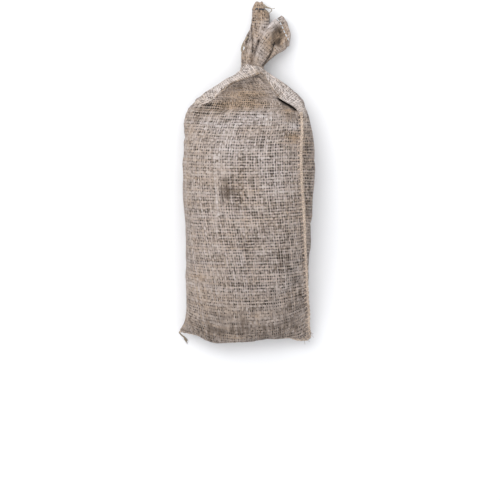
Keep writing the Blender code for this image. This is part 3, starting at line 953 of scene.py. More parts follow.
# ---------------------------------------------------------------- shoulder fold
# The slack of the gathered cloth, folded over itself from one shoulder across the neck to the
# other. Its upper edge laps over the two flaps, and its lower edge overhangs the hollow below.
CLOTH_THICK = 0.0011
SHOULDER_FOLD = [  # outer x, y, inner x, y, how proud the inner edge stands
    (-0.1180, 0.1300, -0.1100, 0.1285, 0.0),
    (-0.1095, 0.1400, -0.0985, 0.1350, 0.0),
    (-0.0980, 0.1490, -0.0880, 0.1410, 0.0),
    (-0.0840, 0.1630, -0.0760, 0.1455, 0.0),
    (-0.0690, 0.1730, -0.0625, 0.1530, 0.1),
    (-0.0540, 0.1825, -0.0470, 0.1665, 0.2),
    (-0.0400, 0.1920, -0.0305, 0.1795, 0.3),
    (-0.0255, 0.1985, -0.0125, 0.1880, 0.4),
    (-0.0133, 0.2080, 0.0020, 0.1925, 0.4),
    (-0.0088, 0.2185, 0.0110, 0.1960, 0.5),
    (0.0010, 0.2215, 0.0190, 0.1995, 0.5),
    (0.0130, 0.2205, 0.0260, 0.2015, 0.3),
    (0.0255, 0.2180, 0.0330, 0.2000, 0.1),
    (0.0355, 0.2115, 0.0400, 0.1935, 0.0),
    (0.0460, 0.2035, 0.0455, 0.1835, 0.0),
    (0.0590, 0.1950, 0.0510, 0.1735, 0.0),
    (0.0720, 0.1860, 0.0575, 0.1640, 0.0),
    (0.0850, 0.1765, 0.0650, 0.1555, 0.3),
    (0.0965, 0.1660, 0.0745, 0.1480, 1.0),
    (0.1065, 0.1555, 0.0865, 0.1415, 1.4),
    (0.1130, 0.1455, 0.0965, 0.1355, 1.3),
    (0.1180, 0.1360, 0.1045, 0.1280, 1.1),
    (0.1215, 0.1260, 0.1095, 0.1185, 0.7),
    (0.1240, 0.1150, 0.1120, 0.1085, 0.4),
    (0.1255, 0.1040, 0.1132, 0.0985, 0.2),
]
FOLD_SECTION = [  # share of the way in, further in, up
    (0.0, 0.0012, -0.0050),
    (0.0, -0.0004, -0.0020),
    (0.0, 0.0004, 0.0006),
    (0.25, 0.0, 0.0018),
    (0.55, 0.0, 0.0026),
    (0.80, 0.0, 0.0038),
    (1.0, -0.0010, 0.0044),
    (1.0, 0.0006, 0.0030),
    (1.0, 0.0006, 0.0008),
    (1.0, -0.0022, -0.0040),
]
FOLD_STEPS = 170
FOLD_SECTION_STEPS = 28
FOLD_ENDS = 14
FOLD_BURIED = 0.0040
FOLD_BRIDGE = 0.26
FOLD_PASSES = 14
FOLD_FADE = 34
FOLD_CROWDING = 1.36  # the gathered yarns lie this much closer than on the body
NECK_Z = 0.06
# A paler copy of the hessian for the fold: partly its worn, bleached cloth, and partly painted
# light that lifts the fold where the lamps leave it darker.
worn_and_lit_hessian = hessian_finish(
    "worn and lit hessian",
    pale=(0.60, 0.495, 0.415),
    bleached=(0.70, 0.620, 0.580),
    worn=(0.82, 0.760, 0.740),
    brown=(0.45, 0.325, 0.230),
)


def form_of(places, closed):
    """A lattice's cloth, in a form that can be searched."""
    spots = [tuple(place) for place in places.reshape(-1, 3)]
    return BVHTree.FromPolygons(spots, grid_faces(*places.shape[:2], closed))


def top_at(form, x, y, usual_z):
    """The height of a form's highest cloth at a place, or of the nearest where it has none."""
    hit = form.ray_cast(Vector((x, y, 1)), Vector((0, 0, -1)))[0]
    return (hit or form.find_nearest(Vector((x, y, usual_z)))[0]).z


def thicken(piece):
    """Gives a lattice's piece the cloth's thickness, on its inner side."""
    thick = piece.modifiers.new("thickness", "SOLIDIFY")
    thick.thickness = CLOTH_THICK
    thick.offset = -1


def true_weave(places, first):
    """A weave map by the cloth's real lengths, for a sheet cut free of the sack's lattice."""
    across = lengths_along(places)
    along = lengths_along(places.transpose(1, 0, 2)).mean(axis=0)
    spots = np.stack([across, np.broadcast_to(along[:, None], across.shape)], axis=2) + first
    corners = spots[:-1, :-1], spots[1:, :-1], spots[1:, 1:], spots[:-1, 1:]
    return np.stack(corners, axis=2)


sack_form = form_of(lattice, True)
edges = through(SHOULDER_FOLD, np.linspace(0, len(SHOULDER_FOLD) - 1, FOLD_STEPS))
section = through(FOLD_SECTION, np.linspace(0, len(FOLD_SECTION) - 1, FOLD_SECTION_STEPS))
fold_places = np.empty((FOLD_STEPS, FOLD_SECTION_STEPS, 3))
# The fold's inner side is painted browner and darker: painted shade where it rolls down into the
# hollow, away from the light, and its edge doesn't stand proud.
under, above, roll_shade, faded = (np.empty(fold_places.shape[:2]) for _ in range(4))
for i, (outer_x, outer_y, inner_x, inner_y, proud) in enumerate(edges):
    outer = np.array([outer_x, outer_y])
    way = np.array([inner_x, inner_y]) - outer
    from_end = min(i, FOLD_STEPS - 1 - i)
    ends = rise(0, FOLD_ENDS, from_end)
    roll_shade[i] = rise(0.35, 1.0, section[:, 0]) * rise(0.8, 0.3, proud) * rise(8, 44, i)
    faded[i] = 1 - rise(0, FOLD_FADE, from_end) * (0.45 + 0.55 * rise(-0.05, 0.25, section[:, 0]))
    for k, (share, further, up) in enumerate(section):
        fold_places[i, k, :2] = outer + way * share + unit(way) * further
        x, y = outer + way * np.clip(share, 0.15, 1 - FOLD_BRIDGE * proud)
        under[i, k] = top_at(sack_form, x, y, NECK_Z)
        if share > 0.5 and up > 0:
            up = up * (0.12 + 0.88 * proud)
        above[i, k] = up * ends - FOLD_BURIED * (1 - ends)
bridged = under
for _ in range(FOLD_PASSES):
    padded = np.pad(bridged, 1, "edge")
    beside = padded[:-2, 1:-1] + padded[2:, 1:-1] + padded[1:-1, :-2] + padded[1:-1, 2:]
    bridged = (beside + 4 * bridged) / 8
lowest = np.where(above > 0, under + 0.0005, 0)
fold_places[:, :, 2] = np.maximum(bridged + above, lowest)
fold_places, roll_shade, faded = (field[:, ::-1] for field in (fold_places, roll_shade, faded))
fold_out = outward(fold_places, False)
fold_places += fold_out * (0.0009 * cloud(fold_places, 0.020, 4.4))[:, :, None]
shoulder_fold = woven(
    "shoulder_fold",
    fold_places,
    grid_faces(FOLD_STEPS, FOLD_SECTION_STEPS, False),
    true_weave(fold_places, (7.0, 0.3)) * FOLD_CROWDING,
    {
        "slack": 0.34 + 0.3 * cloud(fold_places, 0.025, 1.1),
        "soil_and_shade": 0.05 + 0.40 * roll_shade**2 + 0.36 * faded,
        "bleach_and_shading": 0.72 + 0.4 * cloud(fold_places, 0.03, 2.7) - 0.80 * roll_shade - 0.45 * faded,
    },
    worn_and_lit_hessian,
)
thicken(shoulder_fold)
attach(shoulder_fold, "root")
fold_along = lengths_along(fold_places.transpose(1, 0, 2))[:, -1]

# ---------------------------------------------------------------- left flap
# Half of the sack's mouth above the neck: the same hessian, pleated back and forth and pressed
# flat, its mouth turned over once and stitched as a hem.
FLAP_PER_PAIR = 4
FLAP_LOOSE = 0.0006
HEM_DEPTH = 0.012
HEM_RISE = 0.0009
HEM_GROOVE = 0.0008
HEM_GROOVE_WIDTH = 0.0022

# How the mouth's edge and the right side below it run, and the notch in the left side.
LEFT_EDGE_X = [0.0123, 0.0160, 0.0200, 0.0236, 0.0287, 0.0338, 0.0369, 0.0395]
LEFT_EDGE_Y = [0.3440, 0.3485, 0.3510, 0.3516, 0.3492, 0.3522, 0.3485, 0.3440]
LEFT_HEM_Y = 0.3352
LEFT_SIDE_Y = [0.3200, 0.3280, 0.3318, 0.3356, 0.3400, 0.3520]
LEFT_SIDE_X = [0.0472, 0.0474, 0.0440, 0.0383, 0.0385, 0.0390]
LEFT_MIDDLE_X = 0.0300
LEFT_NOTCH_Y = 0.2552
LEFT_NOTCH_REACH = 0.0066
LEFT_NOTCH_DEPTH = 0.0056
LEFT_COURSE = [  # x, y, half width, lowest and highest layer
    (0.0022, 0.2060, 0.0112, 0.0320, 0.0590),
    (0.0022, 0.2240, 0.0115, 0.0300, 0.0590),
    (0.0058, 0.2500, 0.0140, 0.0220, 0.0520),
    (0.0150, 0.2715, 0.0160, 0.0140, 0.0440),
    (0.0265, 0.2910, 0.0182, 0.0080, 0.0370),
    (0.0300, 0.3110, 0.0172, 0.0040, 0.0320),
    (0.0300, 0.3320, 0.0165, 0.0015, 0.0290),
    (0.0285, 0.3465, 0.0140, 0.0010, 0.0280),
]
LEFT_SECTION = [  # across, up, and the same at the mouth where they differ
    (0.98, 0.930), (0.60, 1.000), (0.10, 1.000, 0.10, 0.990), (-0.24, 0.985, -0.45, 0.980),
    (-0.32, 0.940, -0.90, 0.935), (-0.10, 0.900, -0.60, 0.895), (-0.16, 0.860, -0.62, 0.865),
    (-0.52, 0.880, -0.92, 0.870), (-0.62, 0.830, -0.95, 0.830), (-0.40, 0.790, -0.60, 0.790),
    (-0.46, 0.750, -0.62, 0.750), (-0.90, 0.800, -0.96, 0.775),
    (-1.00, 0.730), (0.00, 0.670), (0.90, 0.640), (0.94, 0.575), (0.00, 0.550), (-0.92, 0.540),
    (-0.96, 0.470), (0.00, 0.440), (0.88, 0.430), (0.96, 0.365), (0.00, 0.340), (-0.94, 0.330),
    (-0.90, 0.260), (0.00, 0.235), (0.92, 0.225), (0.90, 0.160), (0.00, 0.135), (-0.86, 0.125),
    (-0.82, 0.060), (0.00, 0.030), (0.84, 0.020),
]

# Creases of the two flaps, seen from above: a run, its width, its height and how much darker it
# is: mostly painted shade in the creases and in the right flap's hollow, with some grime.
FLAP_CREASES = [
    ([(0.0108, 0.3150), (0.0118, 0.2950), (0.0125, 0.2830), (0.0139, 0.2640), (0.0142, 0.2480)],
     0.0016, -0.0042, 1.10),
    ([(0.0195, 0.3040), (0.0205, 0.2940), (0.0207, 0.2850)], 0.0015, -0.0030, 0.80),
    ([(0.0070, 0.2890), (0.0040, 0.2780), (0.0010, 0.2660)], 0.0022, -0.0034, 0.90),
    ([(0.0095, 0.3220), (0.0100, 0.3080)], 0.0012, -0.0020, 0.50),
    ([(0.0266, 0.2715), (0.0255, 0.2690)], 0.0015, -0.0040, 1.20),
    ([(0.0268, 0.2690), (0.0222, 0.2575), (0.0178, 0.2450), (0.0138, 0.2320), (0.0110, 0.2200)],
     0.0034, -0.0070, 0.35),
    ([(0.0145, 0.2560), (0.0130, 0.2420), (0.0110, 0.2270)], 0.0014, -0.0030, 0.80),
    ([(0.0095, 0.2370), (0.0092, 0.2310)], 0.0014, -0.0014, 0.60),
    ([(0.0570, 0.2635), (0.0540, 0.2507), (0.0470, 0.2364), (0.0330, 0.2185)],
     0.0022, -0.0075, 1.40),
    ([(0.0300, 0.3000), (0.0240, 0.2780), (0.0200, 0.2640)], 0.0030, 0.0012, 0),
    ([(0.0160, 0.3222), (0.0455, 0.3190)], 0.0016, -0.0016, 0.45),
    ([(0.0250, 0.3140), (0.0465, 0.3120)], 0.0014, -0.0012, 0.40),
    ([(0.0300, 0.3060), (0.0470, 0.3050)], 0.0014, -0.0012, 0.35),
    ([(0.0130, 0.3100), (0.0180, 0.3160)], 0.0016, -0.0010, 0.35),
    ([(0.0620, 0.2940), (0.0660, 0.2860), (0.0660, 0.2750), (0.0620, 0.2650)],
     0.0092, -0.0100, 0.80),
    ([(0.0555, 0.2860), (0.0560, 0.2720), (0.0560, 0.2640)], 0.0050, -0.0030, 0.12),
    ([(0.0735, 0.2900), (0.0745, 0.2780), (0.0700, 0.2660)], 0.0070, -0.0012, 0.70),
    ([(0.0400, 0.2760), (0.0500, 0.2900), (0.0600, 0.3050)], 0.0070, 0.0030, -0.20),
    ([(0.0655, 0.2990), (0.0690, 0.2900)], 0.0060, -0.0020, 0.20),
    ([(0.0640, 0.2560), (0.0740, 0.2640), (0.0820, 0.2720)], 0.0060, 0.0030, 0),
]

# Bleached and browner places of the two flaps, in the form of the sack's own; the brown ones in and
# beside the right flap's hollow are painted shade.
FLAP_BLEACH_AND_SHADING = [
    (0.0480, 0.3020, 0.016, 0.012, 1.0),
    (0.0620, 0.3130, 0.014, 0.008, 0.8),
    (0.0330, 0.2890, 0.010, 0.014, 0.4),
    (0.0060, 0.2950, 0.005, 0.026, 1.0),
    (0.0400, 0.2700, 0.012, 0.016, -0.3),
    (0.0660, 0.2760, 0.016, 0.018, -0.7),
    (0.0700, 0.2600, 0.014, 0.010, 0.3),
    (0.0300, 0.2440, 0.011, 0.020, 0.9),
    (0.0300, 0.3250, 0.020, 0.030, -0.4),
]


def flap_lattice(course, section, slant):
    """A flap's cloth: its section swept along its course, with a place for half of each pair."""
    at = np.linspace(0, len(course) - 1, 12 * len(course))
    rows = through(course, at)
    x, y, half, low, high = (rows[:, k] for k in range(5))
    heading = unit(np.stack([np.gradient(x), np.gradient(y)], axis=1))
    share = at / at[-1]
    lean = np.stack([heading[:, 1], -heading[:, 0]], axis=1)
    lean -= heading * (slant * share**2)[:, None]
    closer = np.linspace(0, len(section) - 1, 16 * len(section))
    shape = through([row[:2] for row in section], closer)
    at_mouth = through([row[-2:] for row in section], closer)
    opened = rise(0.35, 0.95, share)[:, None, None]
    shape = shape + (at_mouth - shape) * opened
    across = shape[:, :, 0] * half[:, None]
    z = low[:, None] + shape[:, :, 1] * (high - low)[:, None]
    sweep = np.stack([
        x[:, None] + lean[:, :1] * across, y[:, None] + lean[:, 1:] * across, z
    ], axis=2)
    reached = lengths_along(sweep)
    columns = int(reached[:, -1].max() / PITCH_ROUND) * FLAP_PER_PAIR + 1
    rings = np.stack([
        resample(ring, distance, np.linspace(0, distance[-1], columns))
        for ring, distance in zip(sweep, reached)
    ])
    gone = lengths_along(np.stack([x, y, (low + high) / 2], axis=1))
    count = int(gone[-1] / PITCH_ALONG) * FLAP_PER_PAIR + 1
    wanted = np.interp(np.linspace(0, gone[-1], count), gone, np.arange(len(gone)))
    lowest = np.clip(wanted.astype(int), 0, len(gone) - 2)
    part = (wanted - lowest)[:, None, None]
    return rings[lowest] * (1 - part) + rings[lowest + 1] * part


def flap_cloth(name, places, first):
    """Makes a flap, creased, hemmed and of the cloth's thickness. Returns its lattice."""
    rows, columns = places.shape[:2]
    out = outward(places, False)
    seen = rise(0.1, 0.5, out[:, :, 2])
    x, y, z = np.moveaxis(places, 2, 0)
    crease, dirt_and_shade = np.zeros(x.shape), np.zeros(x.shape)
    for run, width, height, shade_and_grime in FLAP_CREASES:
        near = near_run(x, y, run, width)
        crease += height * near
        dirt_and_shade += shade_and_grime * near
    lowest = z.min(axis=1, keepdims=True)
    top = rise(0.35, 0.75, (z - lowest) / np.ptp(z, axis=1)[:, None])
    places = places.copy()
    places[:, :, 2] += crease * top
    from_mouth = (rows - 1 - np.indices(x.shape)[0]) * PITCH_ALONG / FLAP_PER_PAIR
    hem = rise(HEM_DEPTH + 0.002, HEM_DEPTH - 0.002, from_mouth)
    groove = HEM_GROOVE * hump((from_mouth - HEM_DEPTH) / HEM_GROOVE_WIDTH)
    loose = FLAP_LOOSE * cloud(places, 0.016, first + 2.2)
    places = places + out * (hem * HEM_RISE - groove + loose)[:, :, None]
    slack = 0.05 + 0.3 * cloud(places, 0.025, first)
    # Painted shade in the creases of the top layer and on cloth that turns away from the top; the
    # hem a little lighter.
    soil_and_shade = dirt_and_shade * top + 0.22 * (1 - seen) - 0.12 * hem
    bleach_and_shading = 0.25 + 0.3 * cloud(places, 0.03, first + 7.7) + patched(places, FLAP_BLEACH_AND_SHADING)
    places = waffle(places, outward(places, False), slack, FLAP_PER_PAIR)
    made = woven(
        name,
        places,
        grid_faces(rows, columns, False),
        weave_map(rows, columns, False, FLAP_PER_PAIR, (first, 0.40)),
        {"slack": slack, "soil_and_shade": soil_and_shade, "bleach_and_shading": bleach_and_shading},
        hessian,
    )
    thicken(made)
    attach(made, "root")
    return places


left_places = flap_lattice(LEFT_COURSE, LEFT_SECTION, 0.0)
x, y = left_places[:, :, 0], left_places[:, :, 1]
ragged = 0.0006 * cloud(left_places, 0.004, 6.1)
past_hem = np.maximum(y - LEFT_HEM_Y, 0) / (left_places[-1, :, 1] - LEFT_HEM_Y)
edge_y = np.interp(x, LEFT_EDGE_X, LEFT_EDGE_Y) + ragged
y += past_hem * (edge_y - left_places[-1:, :, 1])
right_side = x.max(axis=1, keepdims=True) - LEFT_MIDDLE_X
narrower = (np.interp(y, LEFT_SIDE_Y, LEFT_SIDE_X) - LEFT_MIDDLE_X) / right_side
narrower = 1 + (narrower - 1) * rise(LEFT_SIDE_Y[0], LEFT_SIDE_Y[1], y)
x += np.maximum(x - LEFT_MIDDLE_X, 0) * (narrower - 1)
x += past_hem * 0.0030 * rise(0.010, 0.0, x - x.min(axis=1, keepdims=True))
course_x, course_y, course_half = np.transpose(LEFT_COURSE)[:3]
left_edge = np.interp(y[:, 0], course_y, course_x - course_half)
near_edge = rise(0.012, 0.0, x - left_edge[:, None])
x += near_edge * LEFT_NOTCH_DEPTH * hump((y - LEFT_NOTCH_Y) / LEFT_NOTCH_REACH)
left_places = flap_cloth("left_flap", left_places, 1.0)

# ---------------------------------------------------------------- right flap
# The other half of the mouth, spread as a spout: its upper edge folds over, the cloth beside it
# dips into a hollow, and its outer edge turns up in a rim.
RIGHT_COURSE = [
    (0.0245, 0.2060, 0.0118, 0.0320, 0.0590),
    (0.0240, 0.2190, 0.0112, 0.0300, 0.0590),
    (0.0326, 0.2376, 0.0150, 0.0220, 0.0560),
    (0.0488, 0.2628, 0.0240, 0.0120, 0.0480),
    (0.0638, 0.2790, 0.0295, 0.0050, 0.0410),
    (0.0792, 0.2908, 0.0292, 0.0015, 0.0350),
]
RIGHT_SLANT = 0.37  # of the mouth's edge
RIGHT_BULGE = 0.0115  # of its middle
RIGHT_CORNER = 0.0025  # of its inner end
RIGHT_SECTION = [
    (-0.60, 0.560, -0.60, 0.600), (-0.90, 0.580, -0.90, 0.640), (-1.00, 0.740, -1.00, 0.780),
    (-0.90, 0.900), (-0.60, 1.000, -0.60, 0.990), (-0.30, 0.980), (0.05, 0.930, 0.05, 0.960),
    (0.32, 0.900, 0.32, 0.940), (0.54, 0.900, 0.54, 0.930), (0.74, 0.900, 0.74, 0.920),
    (0.92, 0.840, 0.92, 0.870), (1.00, 0.680, 1.00, 0.700), (0.95, 0.460, 0.95, 0.480),
    (0.76, 0.300, 0.76, 0.320), (0.00, 0.275), (-0.70, 0.260), (-0.76, 0.190), (0.00, 0.150),
    (0.70, 0.140), (0.74, 0.070), (0.00, 0.025), (-0.62, 0.015),
]
right_places = flap_lattice(RIGHT_COURSE, RIGHT_SECTION, RIGHT_SLANT)
mouth = np.array(RIGHT_COURSE[-1])
heading = unit((mouth - RIGHT_COURSE[-2])[:2])
sideways = np.array([heading[1], -heading[0]]) - heading * RIGHT_SLANT
off_middle = (right_places[:, :, :2] - mouth[:2]) @ sideways
off_middle = np.clip(off_middle / mouth[2] / (sideways @ sideways), -1, 1)
forward = RIGHT_BULGE * (1 - off_middle**2) + RIGHT_CORNER * np.maximum(-off_middle, 0)
forward += 0.0007 * cloud(right_places, 0.005, 8.3) + 0.0022 * cloud(right_places, 0.013, 5.9)
out_along = np.linspace(0, 1, len(right_places))[:, None] ** 3
right_places[:, :, :2] += (forward * out_along)[:, :, None] * heading
right_places = flap_cloth("right_flap", right_places, 3.0)

# ---------------------------------------------------------------- hem stitches
# Running stitches that hold the two hems: dark blue thread on the left flap, and thick white
# thread on the right one. Each goes over the cloth, then under it.
LEFT_STITCHES = [(0.0205, 0.3366), (0.0300, 0.3358), (0.0374, 0.3351)]
RIGHT_STITCHES = [
    (0.0625, 0.3160), (0.0697, 0.3075), (0.0745, 0.2985), (0.0785, 0.2895), (0.0830, 0.2805),
    (0.0868, 0.2720), (0.0878, 0.2672),
]
STITCH_POINTS = 8
HEM_Z = 0.04


def hem_stitches(name, places, route, finish, pitch, length, radius):
    """Stitches along a route over the cloth, seen from above."""
    form = form_of(places, False)
    run = smooth_run([(x, y, 0) for x, y in route], 200)
    gone = lengths_along(run)
    arch = np.sin(np.linspace(0.08, 0.92, STITCH_POINTS) * math.pi)
    thread = Skein()
    begin = 0.0
    while begin + length < gone[-1]:
        stitch = resample(run, gone, np.linspace(begin, begin + length, STITCH_POINTS))
        stitch[:, 2] = [top_at(form, x, y, HEM_Z) for x, y, _ in stitch]
        stitch[:, 2] = averaged(stitch[:, None, 2:], 2)[:, 0, 0] + radius * (1.3 * arch - 0.8)
        thread.add(stitch, radius * (0.7 + 0.3 * arch), 7)
        begin += pitch * random.uniform(0.95, 1.05)
    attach(thread.piece(name, finish), "root")


navy = twine_finish("dark blue thread", (0.030, 0.052, 0.085), (0.008, 0.012, 0.020))
white = twine_finish("white thread", (0.76, 0.80, 0.83), (0.40, 0.44, 0.48))
hem_stitches(
    "left_hem_stitches", left_places, LEFT_STITCHES, navy,
    pitch=0.0062, length=0.0036, radius=0.00160,
)
hem_stitches(
    "right_hem_stitches", right_places, RIGHT_STITCHES, white,
    pitch=0.0090, length=0.0084, radius=0.00128,
)

# ---------------------------------------------------------------- loose ends
# What has worked free at the mouth: the hem's rolled corner standing off the left flap, the two
# threads that tie it back, and a yarn that has slipped off the flap's left edge.
hem_corner = Skein()
hem_corner.add(
    smooth_run([
        (0.0360, 0.3446, 0.0285), (0.0392, 0.3414, 0.0290), (0.0432, 0.3392, 0.0290),
        (0.0486, 0.3378, 0.0280), (0.0530, 0.3364, 0.0270),
    ], 24),
    np.interp(np.linspace(0, 1, 24), [0, 0.3, 0.75, 1], [0.0024, 0.0022, 0.0013, 0.0007]),
    8,
)
for points, radius in (
    ([(0.0525, 0.3362, 0.0270), (0.0520, 0.3322, 0.0262), (0.0478, 0.3278, 0.0262)], 0.0007),
    ([(0.0525, 0.3364, 0.0270), (0.0530, 0.3335, 0.0270), (0.0512, 0.3302, 0.0264)], 0.0005),
    ([(0.0365, 0.3338, 0.0300), (0.0418, 0.3302, 0.0290), (0.0476, 0.3277, 0.0262)], 0.0008),
    ([(0.0520, 0.3364, 0.0270), (0.0560, 0.3372, 0.0265), (0.0600, 0.3376, 0.0258)], 0.0004),
    ([(0.0490, 0.3375, 0.0280), (0.0550, 0.3366, 0.0272), (0.0585, 0.3382, 0.0262)], 0.0003),
):
    hem_corner.add(smooth_run(points, 12), radius, 5)
hem_corner_twist = hem_corner.piece("hem_corner", tail_twine)
slipped = Skein()
for shift in (-0.0004, 0.0010, 0.0022):
    slipped.add(
        smooth_run([
            (0.0036 + shift, 0.2790, 0.0400), (-0.0010 + shift, 0.2735, 0.0390),
            (-0.0056 + shift, 0.2655, 0.0380), (-0.0086 + shift, 0.2570, 0.0385),
            (-0.0092 + shift, 0.2510, 0.0400), (-0.0074 + shift, 0.2455, 0.0425),
        ], 30),
        0.0010,
        5,
    )
slipped_yarn = slipped.piece("slipped_yarn", tail_twine)
for piece in (hem_corner_twist, slipped_yarn):
    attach(piece, "root")

# ---------------------------------------------------------------- seam welt
# The oversewn edge: the two layers' raw edges rolled together and bound by a plait of thick, pale
# jute twine, down the right side, round the foot corner and along the foot. Each stitch's legs
# run down into the cloth on both sides.
SEAM_TOP_Y = 0.124
SEAM_POINTS = 900
SEAM_PASSES = 40
WELT_OFF = 0.0020
CORNER_OFF = (0.0018, -0.0026, -0.0010)
END_CORNER_OFF = (-0.0003, -0.0030, -0.0022)
CORE_RADIUS = 0.0028
STITCH_PITCH = 0.0095
PLAIT_SWING = 0.0021
PLAIT_LIFT = 0.0009
PLAIT_RADIUS = 0.00112
PLAIT_OFF = 0.0024
LEG_REACH = 0.0062
LEG_RADIUS = 0.0009
CORNER_REACH = 0.028
CORNER_SWELL = 0.50
CORNER_TURN = 1.4
TUCK_START_X = 0.085
TUCK_END_X = 0.055
TUCK_TURN = 3.6
seam_twine = twine_finish("seam twine", (0.88, 0.715, 0.58), (0.26, 0.19, 0.14))
rolled_edge = twine_finish("rolled edge", (0.47, 0.395, 0.345), (0.16, 0.125, 0.105))
top_row = int(np.argmax(lattice[:, 0, 1] > SEAM_TOP_Y))
out = outward(lattice, True)
side_run = (lattice[:, 0] + WELT_OFF * averaged(out, 6)[:, 0])[6:top_row:4][::-1]
half = columns // 2
foot_middle = (lattice[4, : half + 1] + lattice[4, np.r_[0, -1:-half - 1:-1]]) / 2
foot_out = unit(lattice[0, : half + 1] - foot_middle)
foot_run = (lattice[0, : half + 1] + WELT_OFF * foot_out)[6:-8:6]
turning = lattice[0, 0] + CORNER_OFF
end_corner = lattice[0, half] + END_CORNER_OFF
seam_run = smooth_run(np.vstack([side_run, [turning], foot_run, [end_corner]]), SEAM_POINTS)
gone = lengths_along(seam_run)
nearest = int(np.argmin(np.linalg.norm(seam_run - turning, axis=1)))
near_corner = hump((gone - gone[nearest]) / CORNER_REACH)
swell = CORE_RADIUS * CORNER_SWELL * near_corner
core = Skein()
core.add(seam_run[::5], (CORE_RADIUS + swell)[::5], 8)
core_cloth = core.piece("seam_core", rolled_edge)
seam_out = seam_run - np.array([sack_form.find_nearest(Vector(spot))[0] for spot in seam_run])
for _ in range(SEAM_PASSES):
    seam_out[1:-1] = (seam_out[:-2] + 2 * seam_out[1:-1] + seam_out[2:]) / 4
seam_out = unit(seam_out)
tucked = rise(TUCK_START_X, TUCK_END_X, seam_run[:, 0])
seam_out[:, 2] += CORNER_TURN * near_corner - TUCK_TURN * tucked
seam_out = unit(seam_out)
seam_along = unit(np.gradient(seam_run, axis=0))
seam_across = np.cross(seam_along, seam_out)
plait = Skein()
for strand in range(3):
    turn = math.tau * (gone / (3 * STITCH_PITCH) + strand / 3)
    swung = seam_across * (np.sin(turn) * PLAIT_SWING)[:, None]
    lift = PLAIT_OFF + swell + np.sin(2 * turn) * PLAIT_LIFT - 0.5 * PLAIT_OFF * np.sin(turn) ** 2
    plait.add((seam_run + swung + seam_out * lift[:, None])[::2], PLAIT_RADIUS, 6)
for at in np.arange(STITCH_PITCH / 2, gone[-1] - STITCH_PITCH / 2, STITCH_PITCH):
    i = int(np.searchsorted(gone, at))
    for side in (-1, 1):
        aside = seam_across[i] * side
        slant = seam_along[i] * random.uniform(0.002, 0.004) * side
        leg_end = seam_run[i] + aside * LEG_REACH * random.uniform(0.85, 1.1) + slant
        sunk = np.array(sack_form.find_nearest(Vector(leg_end))[0])
        leg = [
            seam_run[i] + seam_out[i] * (CORE_RADIUS + 0.0008),
            seam_run[i] + aside * CORE_RADIUS * 1.15 + seam_out[i] * 0.0010,
            (sunk + seam_run[i] + aside * CORE_RADIUS * 1.3) / 2,
            sunk - seam_out[i] * 0.0008,
        ]
        plait.add(smooth_run(leg, 8), LEG_RADIUS, 5)
seam_plait = plait.piece("seam_plait", seam_twine)

# ---------------------------------------------------------------- corner knot
# The foot's right corner, where the sewing turns and locks: loops of the twine wound round the
# rolled cloth, with frayed ends.
CORNER_LOOPS = 6
CORNER_SPAN = 0.034
CORNER_HAIRS = 14
CORNER_HAIR_REACH = (0.004, 0.010)
CORNER_HAIR_LIFT = 0.004
corner_knot = Skein()
for loop in range(CORNER_LOOPS):
    reach = CORNER_SPAN * (loop / (CORNER_LOOPS - 1) - 0.42)
    i = int(np.argmin(np.abs(gone - gone[nearest] - reach)))
    wide = CORE_RADIUS + swell[i] + random.uniform(0.0, 0.0004)
    turns = np.linspace(0, math.tau * 0.96, 18) + random.uniform(0, 1)
    lean = seam_along[i] * random.uniform(-0.005, 0.005)
    corner_knot.add(
        seam_run[i]
        + np.outer(np.cos(turns), seam_across[i] * wide + lean)
        + np.outer(np.sin(turns), seam_out[i] * wide),
        0.0009,
        6,
    )
for hair in range(CORNER_HAIRS):
    i = nearest + random.randint(-14, 14)
    way = seam_out[i] * 0.6 + seam_across[i] * random.uniform(-1, 1)
    way = unit(way + seam_along[i] * random.uniform(-1, 1)) * random.uniform(*CORNER_HAIR_REACH)
    lifted = seam_run[i] + seam_out[i] * CORNER_HAIR_LIFT
    tip = lifted + way
    tip[2] = max(tip[2], 0.002)
    corner_knot.add(smooth_run([seam_run[i], lifted + way * 0.5, tip], 7), 0.0003, 4)
corner_knot_piece = corner_knot.piece("corner_knot", rolled_edge)
for piece in (core_cloth, seam_plait, corner_knot_piece):
    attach(piece, "root")
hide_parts("seam_twine")

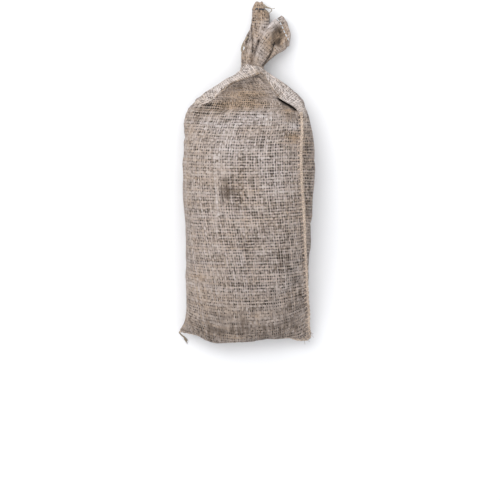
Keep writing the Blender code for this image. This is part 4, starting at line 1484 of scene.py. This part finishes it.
# ---------------------------------------------------------------- loose fibres
# Hairs of dry jute that stand off the yarns all over the cloth. Each is rooted in a yarn, lifts
# off it and curls back, and a few thicker ones are the ends of broken yarns.
FIBRES = 300
FIBRE_REACH = (0.005, 0.016)
FIBRE_LIFT = (0.0006, 0.0030)
FIBRE_RADIUS = 0.00013
FIBRE_CURL = 0.002
FIBRE_LOWEST = 0.012
FIBRE_TAPER = np.array([1, 1, 0.95, 0.85, 0.7, 0.4])
BROKEN_YARNS = 14
BROKEN_RADIUS = 0.00045
fuzz = Skein()
for fibre in range(FIBRES + BROKEN_YARNS):
    row, column = random.randrange(8, len(lattice) - 6), random.randrange(columns)
    root = lattice[row, column]
    yarn_way = lattice[row + 1, column] - root
    if fibre % 2:
        yarn_way = lattice[row, (column + 1) % columns] - root
    bend = np.cross(out[row, column], yarn_way) * random.uniform(-1.4, 1.4)
    way = unit(yarn_way + bend) * random.uniform(*FIBRE_REACH)
    lift = out[row, column] * random.uniform(*FIBRE_LIFT)
    curl = unit(bend) * random.uniform(-FIBRE_CURL, FIBRE_CURL)
    if root[2] < FIBRE_LOWEST:
        continue
    thickness = FIBRE_RADIUS if fibre < FIBRES else BROKEN_RADIUS
    hair_run = [root, root + way * 0.35 + lift, root + way + lift * 0.5 + curl]
    fuzz.add(smooth_run(hair_run, len(FIBRE_TAPER)), thickness * FIBRE_TAPER, 3)
loose_fibres = fuzz.piece("loose_fibres", seam_twine)
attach(loose_fibres, "root")

# ---------------------------------------------------------------- studio
# A plain pale floor and broad soft light, strongest from beyond the mouth's left.
FLOOR_SIDE = 8.0
bpy.ops.object.select_all(action="DESELECT")
bpy.ops.mesh.primitive_plane_add(size=FLOOR_SIDE)
floor = bpy.context.object
floor.name = "floor"
floor_finish, floor_shader, _ = finish_of("floor", 0.6, 0)
floor_shader.inputs["Base Color"].default_value = (0.92, 0.92, 0.93, 1)
floor.data.materials.append(floor_finish)


def softbox(name, place, aim, size, power):
    """A square soft light that faces a point."""
    light = bpy.data.lights.new(name, "AREA")
    light.size = size
    light.energy = power
    made = bpy.data.objects.new(name, light)
    made.location = place
    made.rotation_euler = (Vector(aim) - Vector(place)).to_track_quat("-Z", "Y").to_euler()
    bpy.context.scene.collection.objects.link(made)


softbox("key", (-0.9, 1.4, 2.0), (0, 0, 0.05), 2.6, 40)
softbox("top", (0.0, 0.0, 3.0), (0, 0, 0.05), 4.5, 54)
world = bpy.data.worlds.new("studio")
bpy.context.scene.world = world
world.use_nodes = True
world.node_tree.nodes["Background"].inputs["Color"].default_value = (0.95, 0.97, 1.0, 1)
world.node_tree.nodes["Background"].inputs["Strength"].default_value = 0.62
bpy.context.scene.view_settings.view_transform = "Standard"
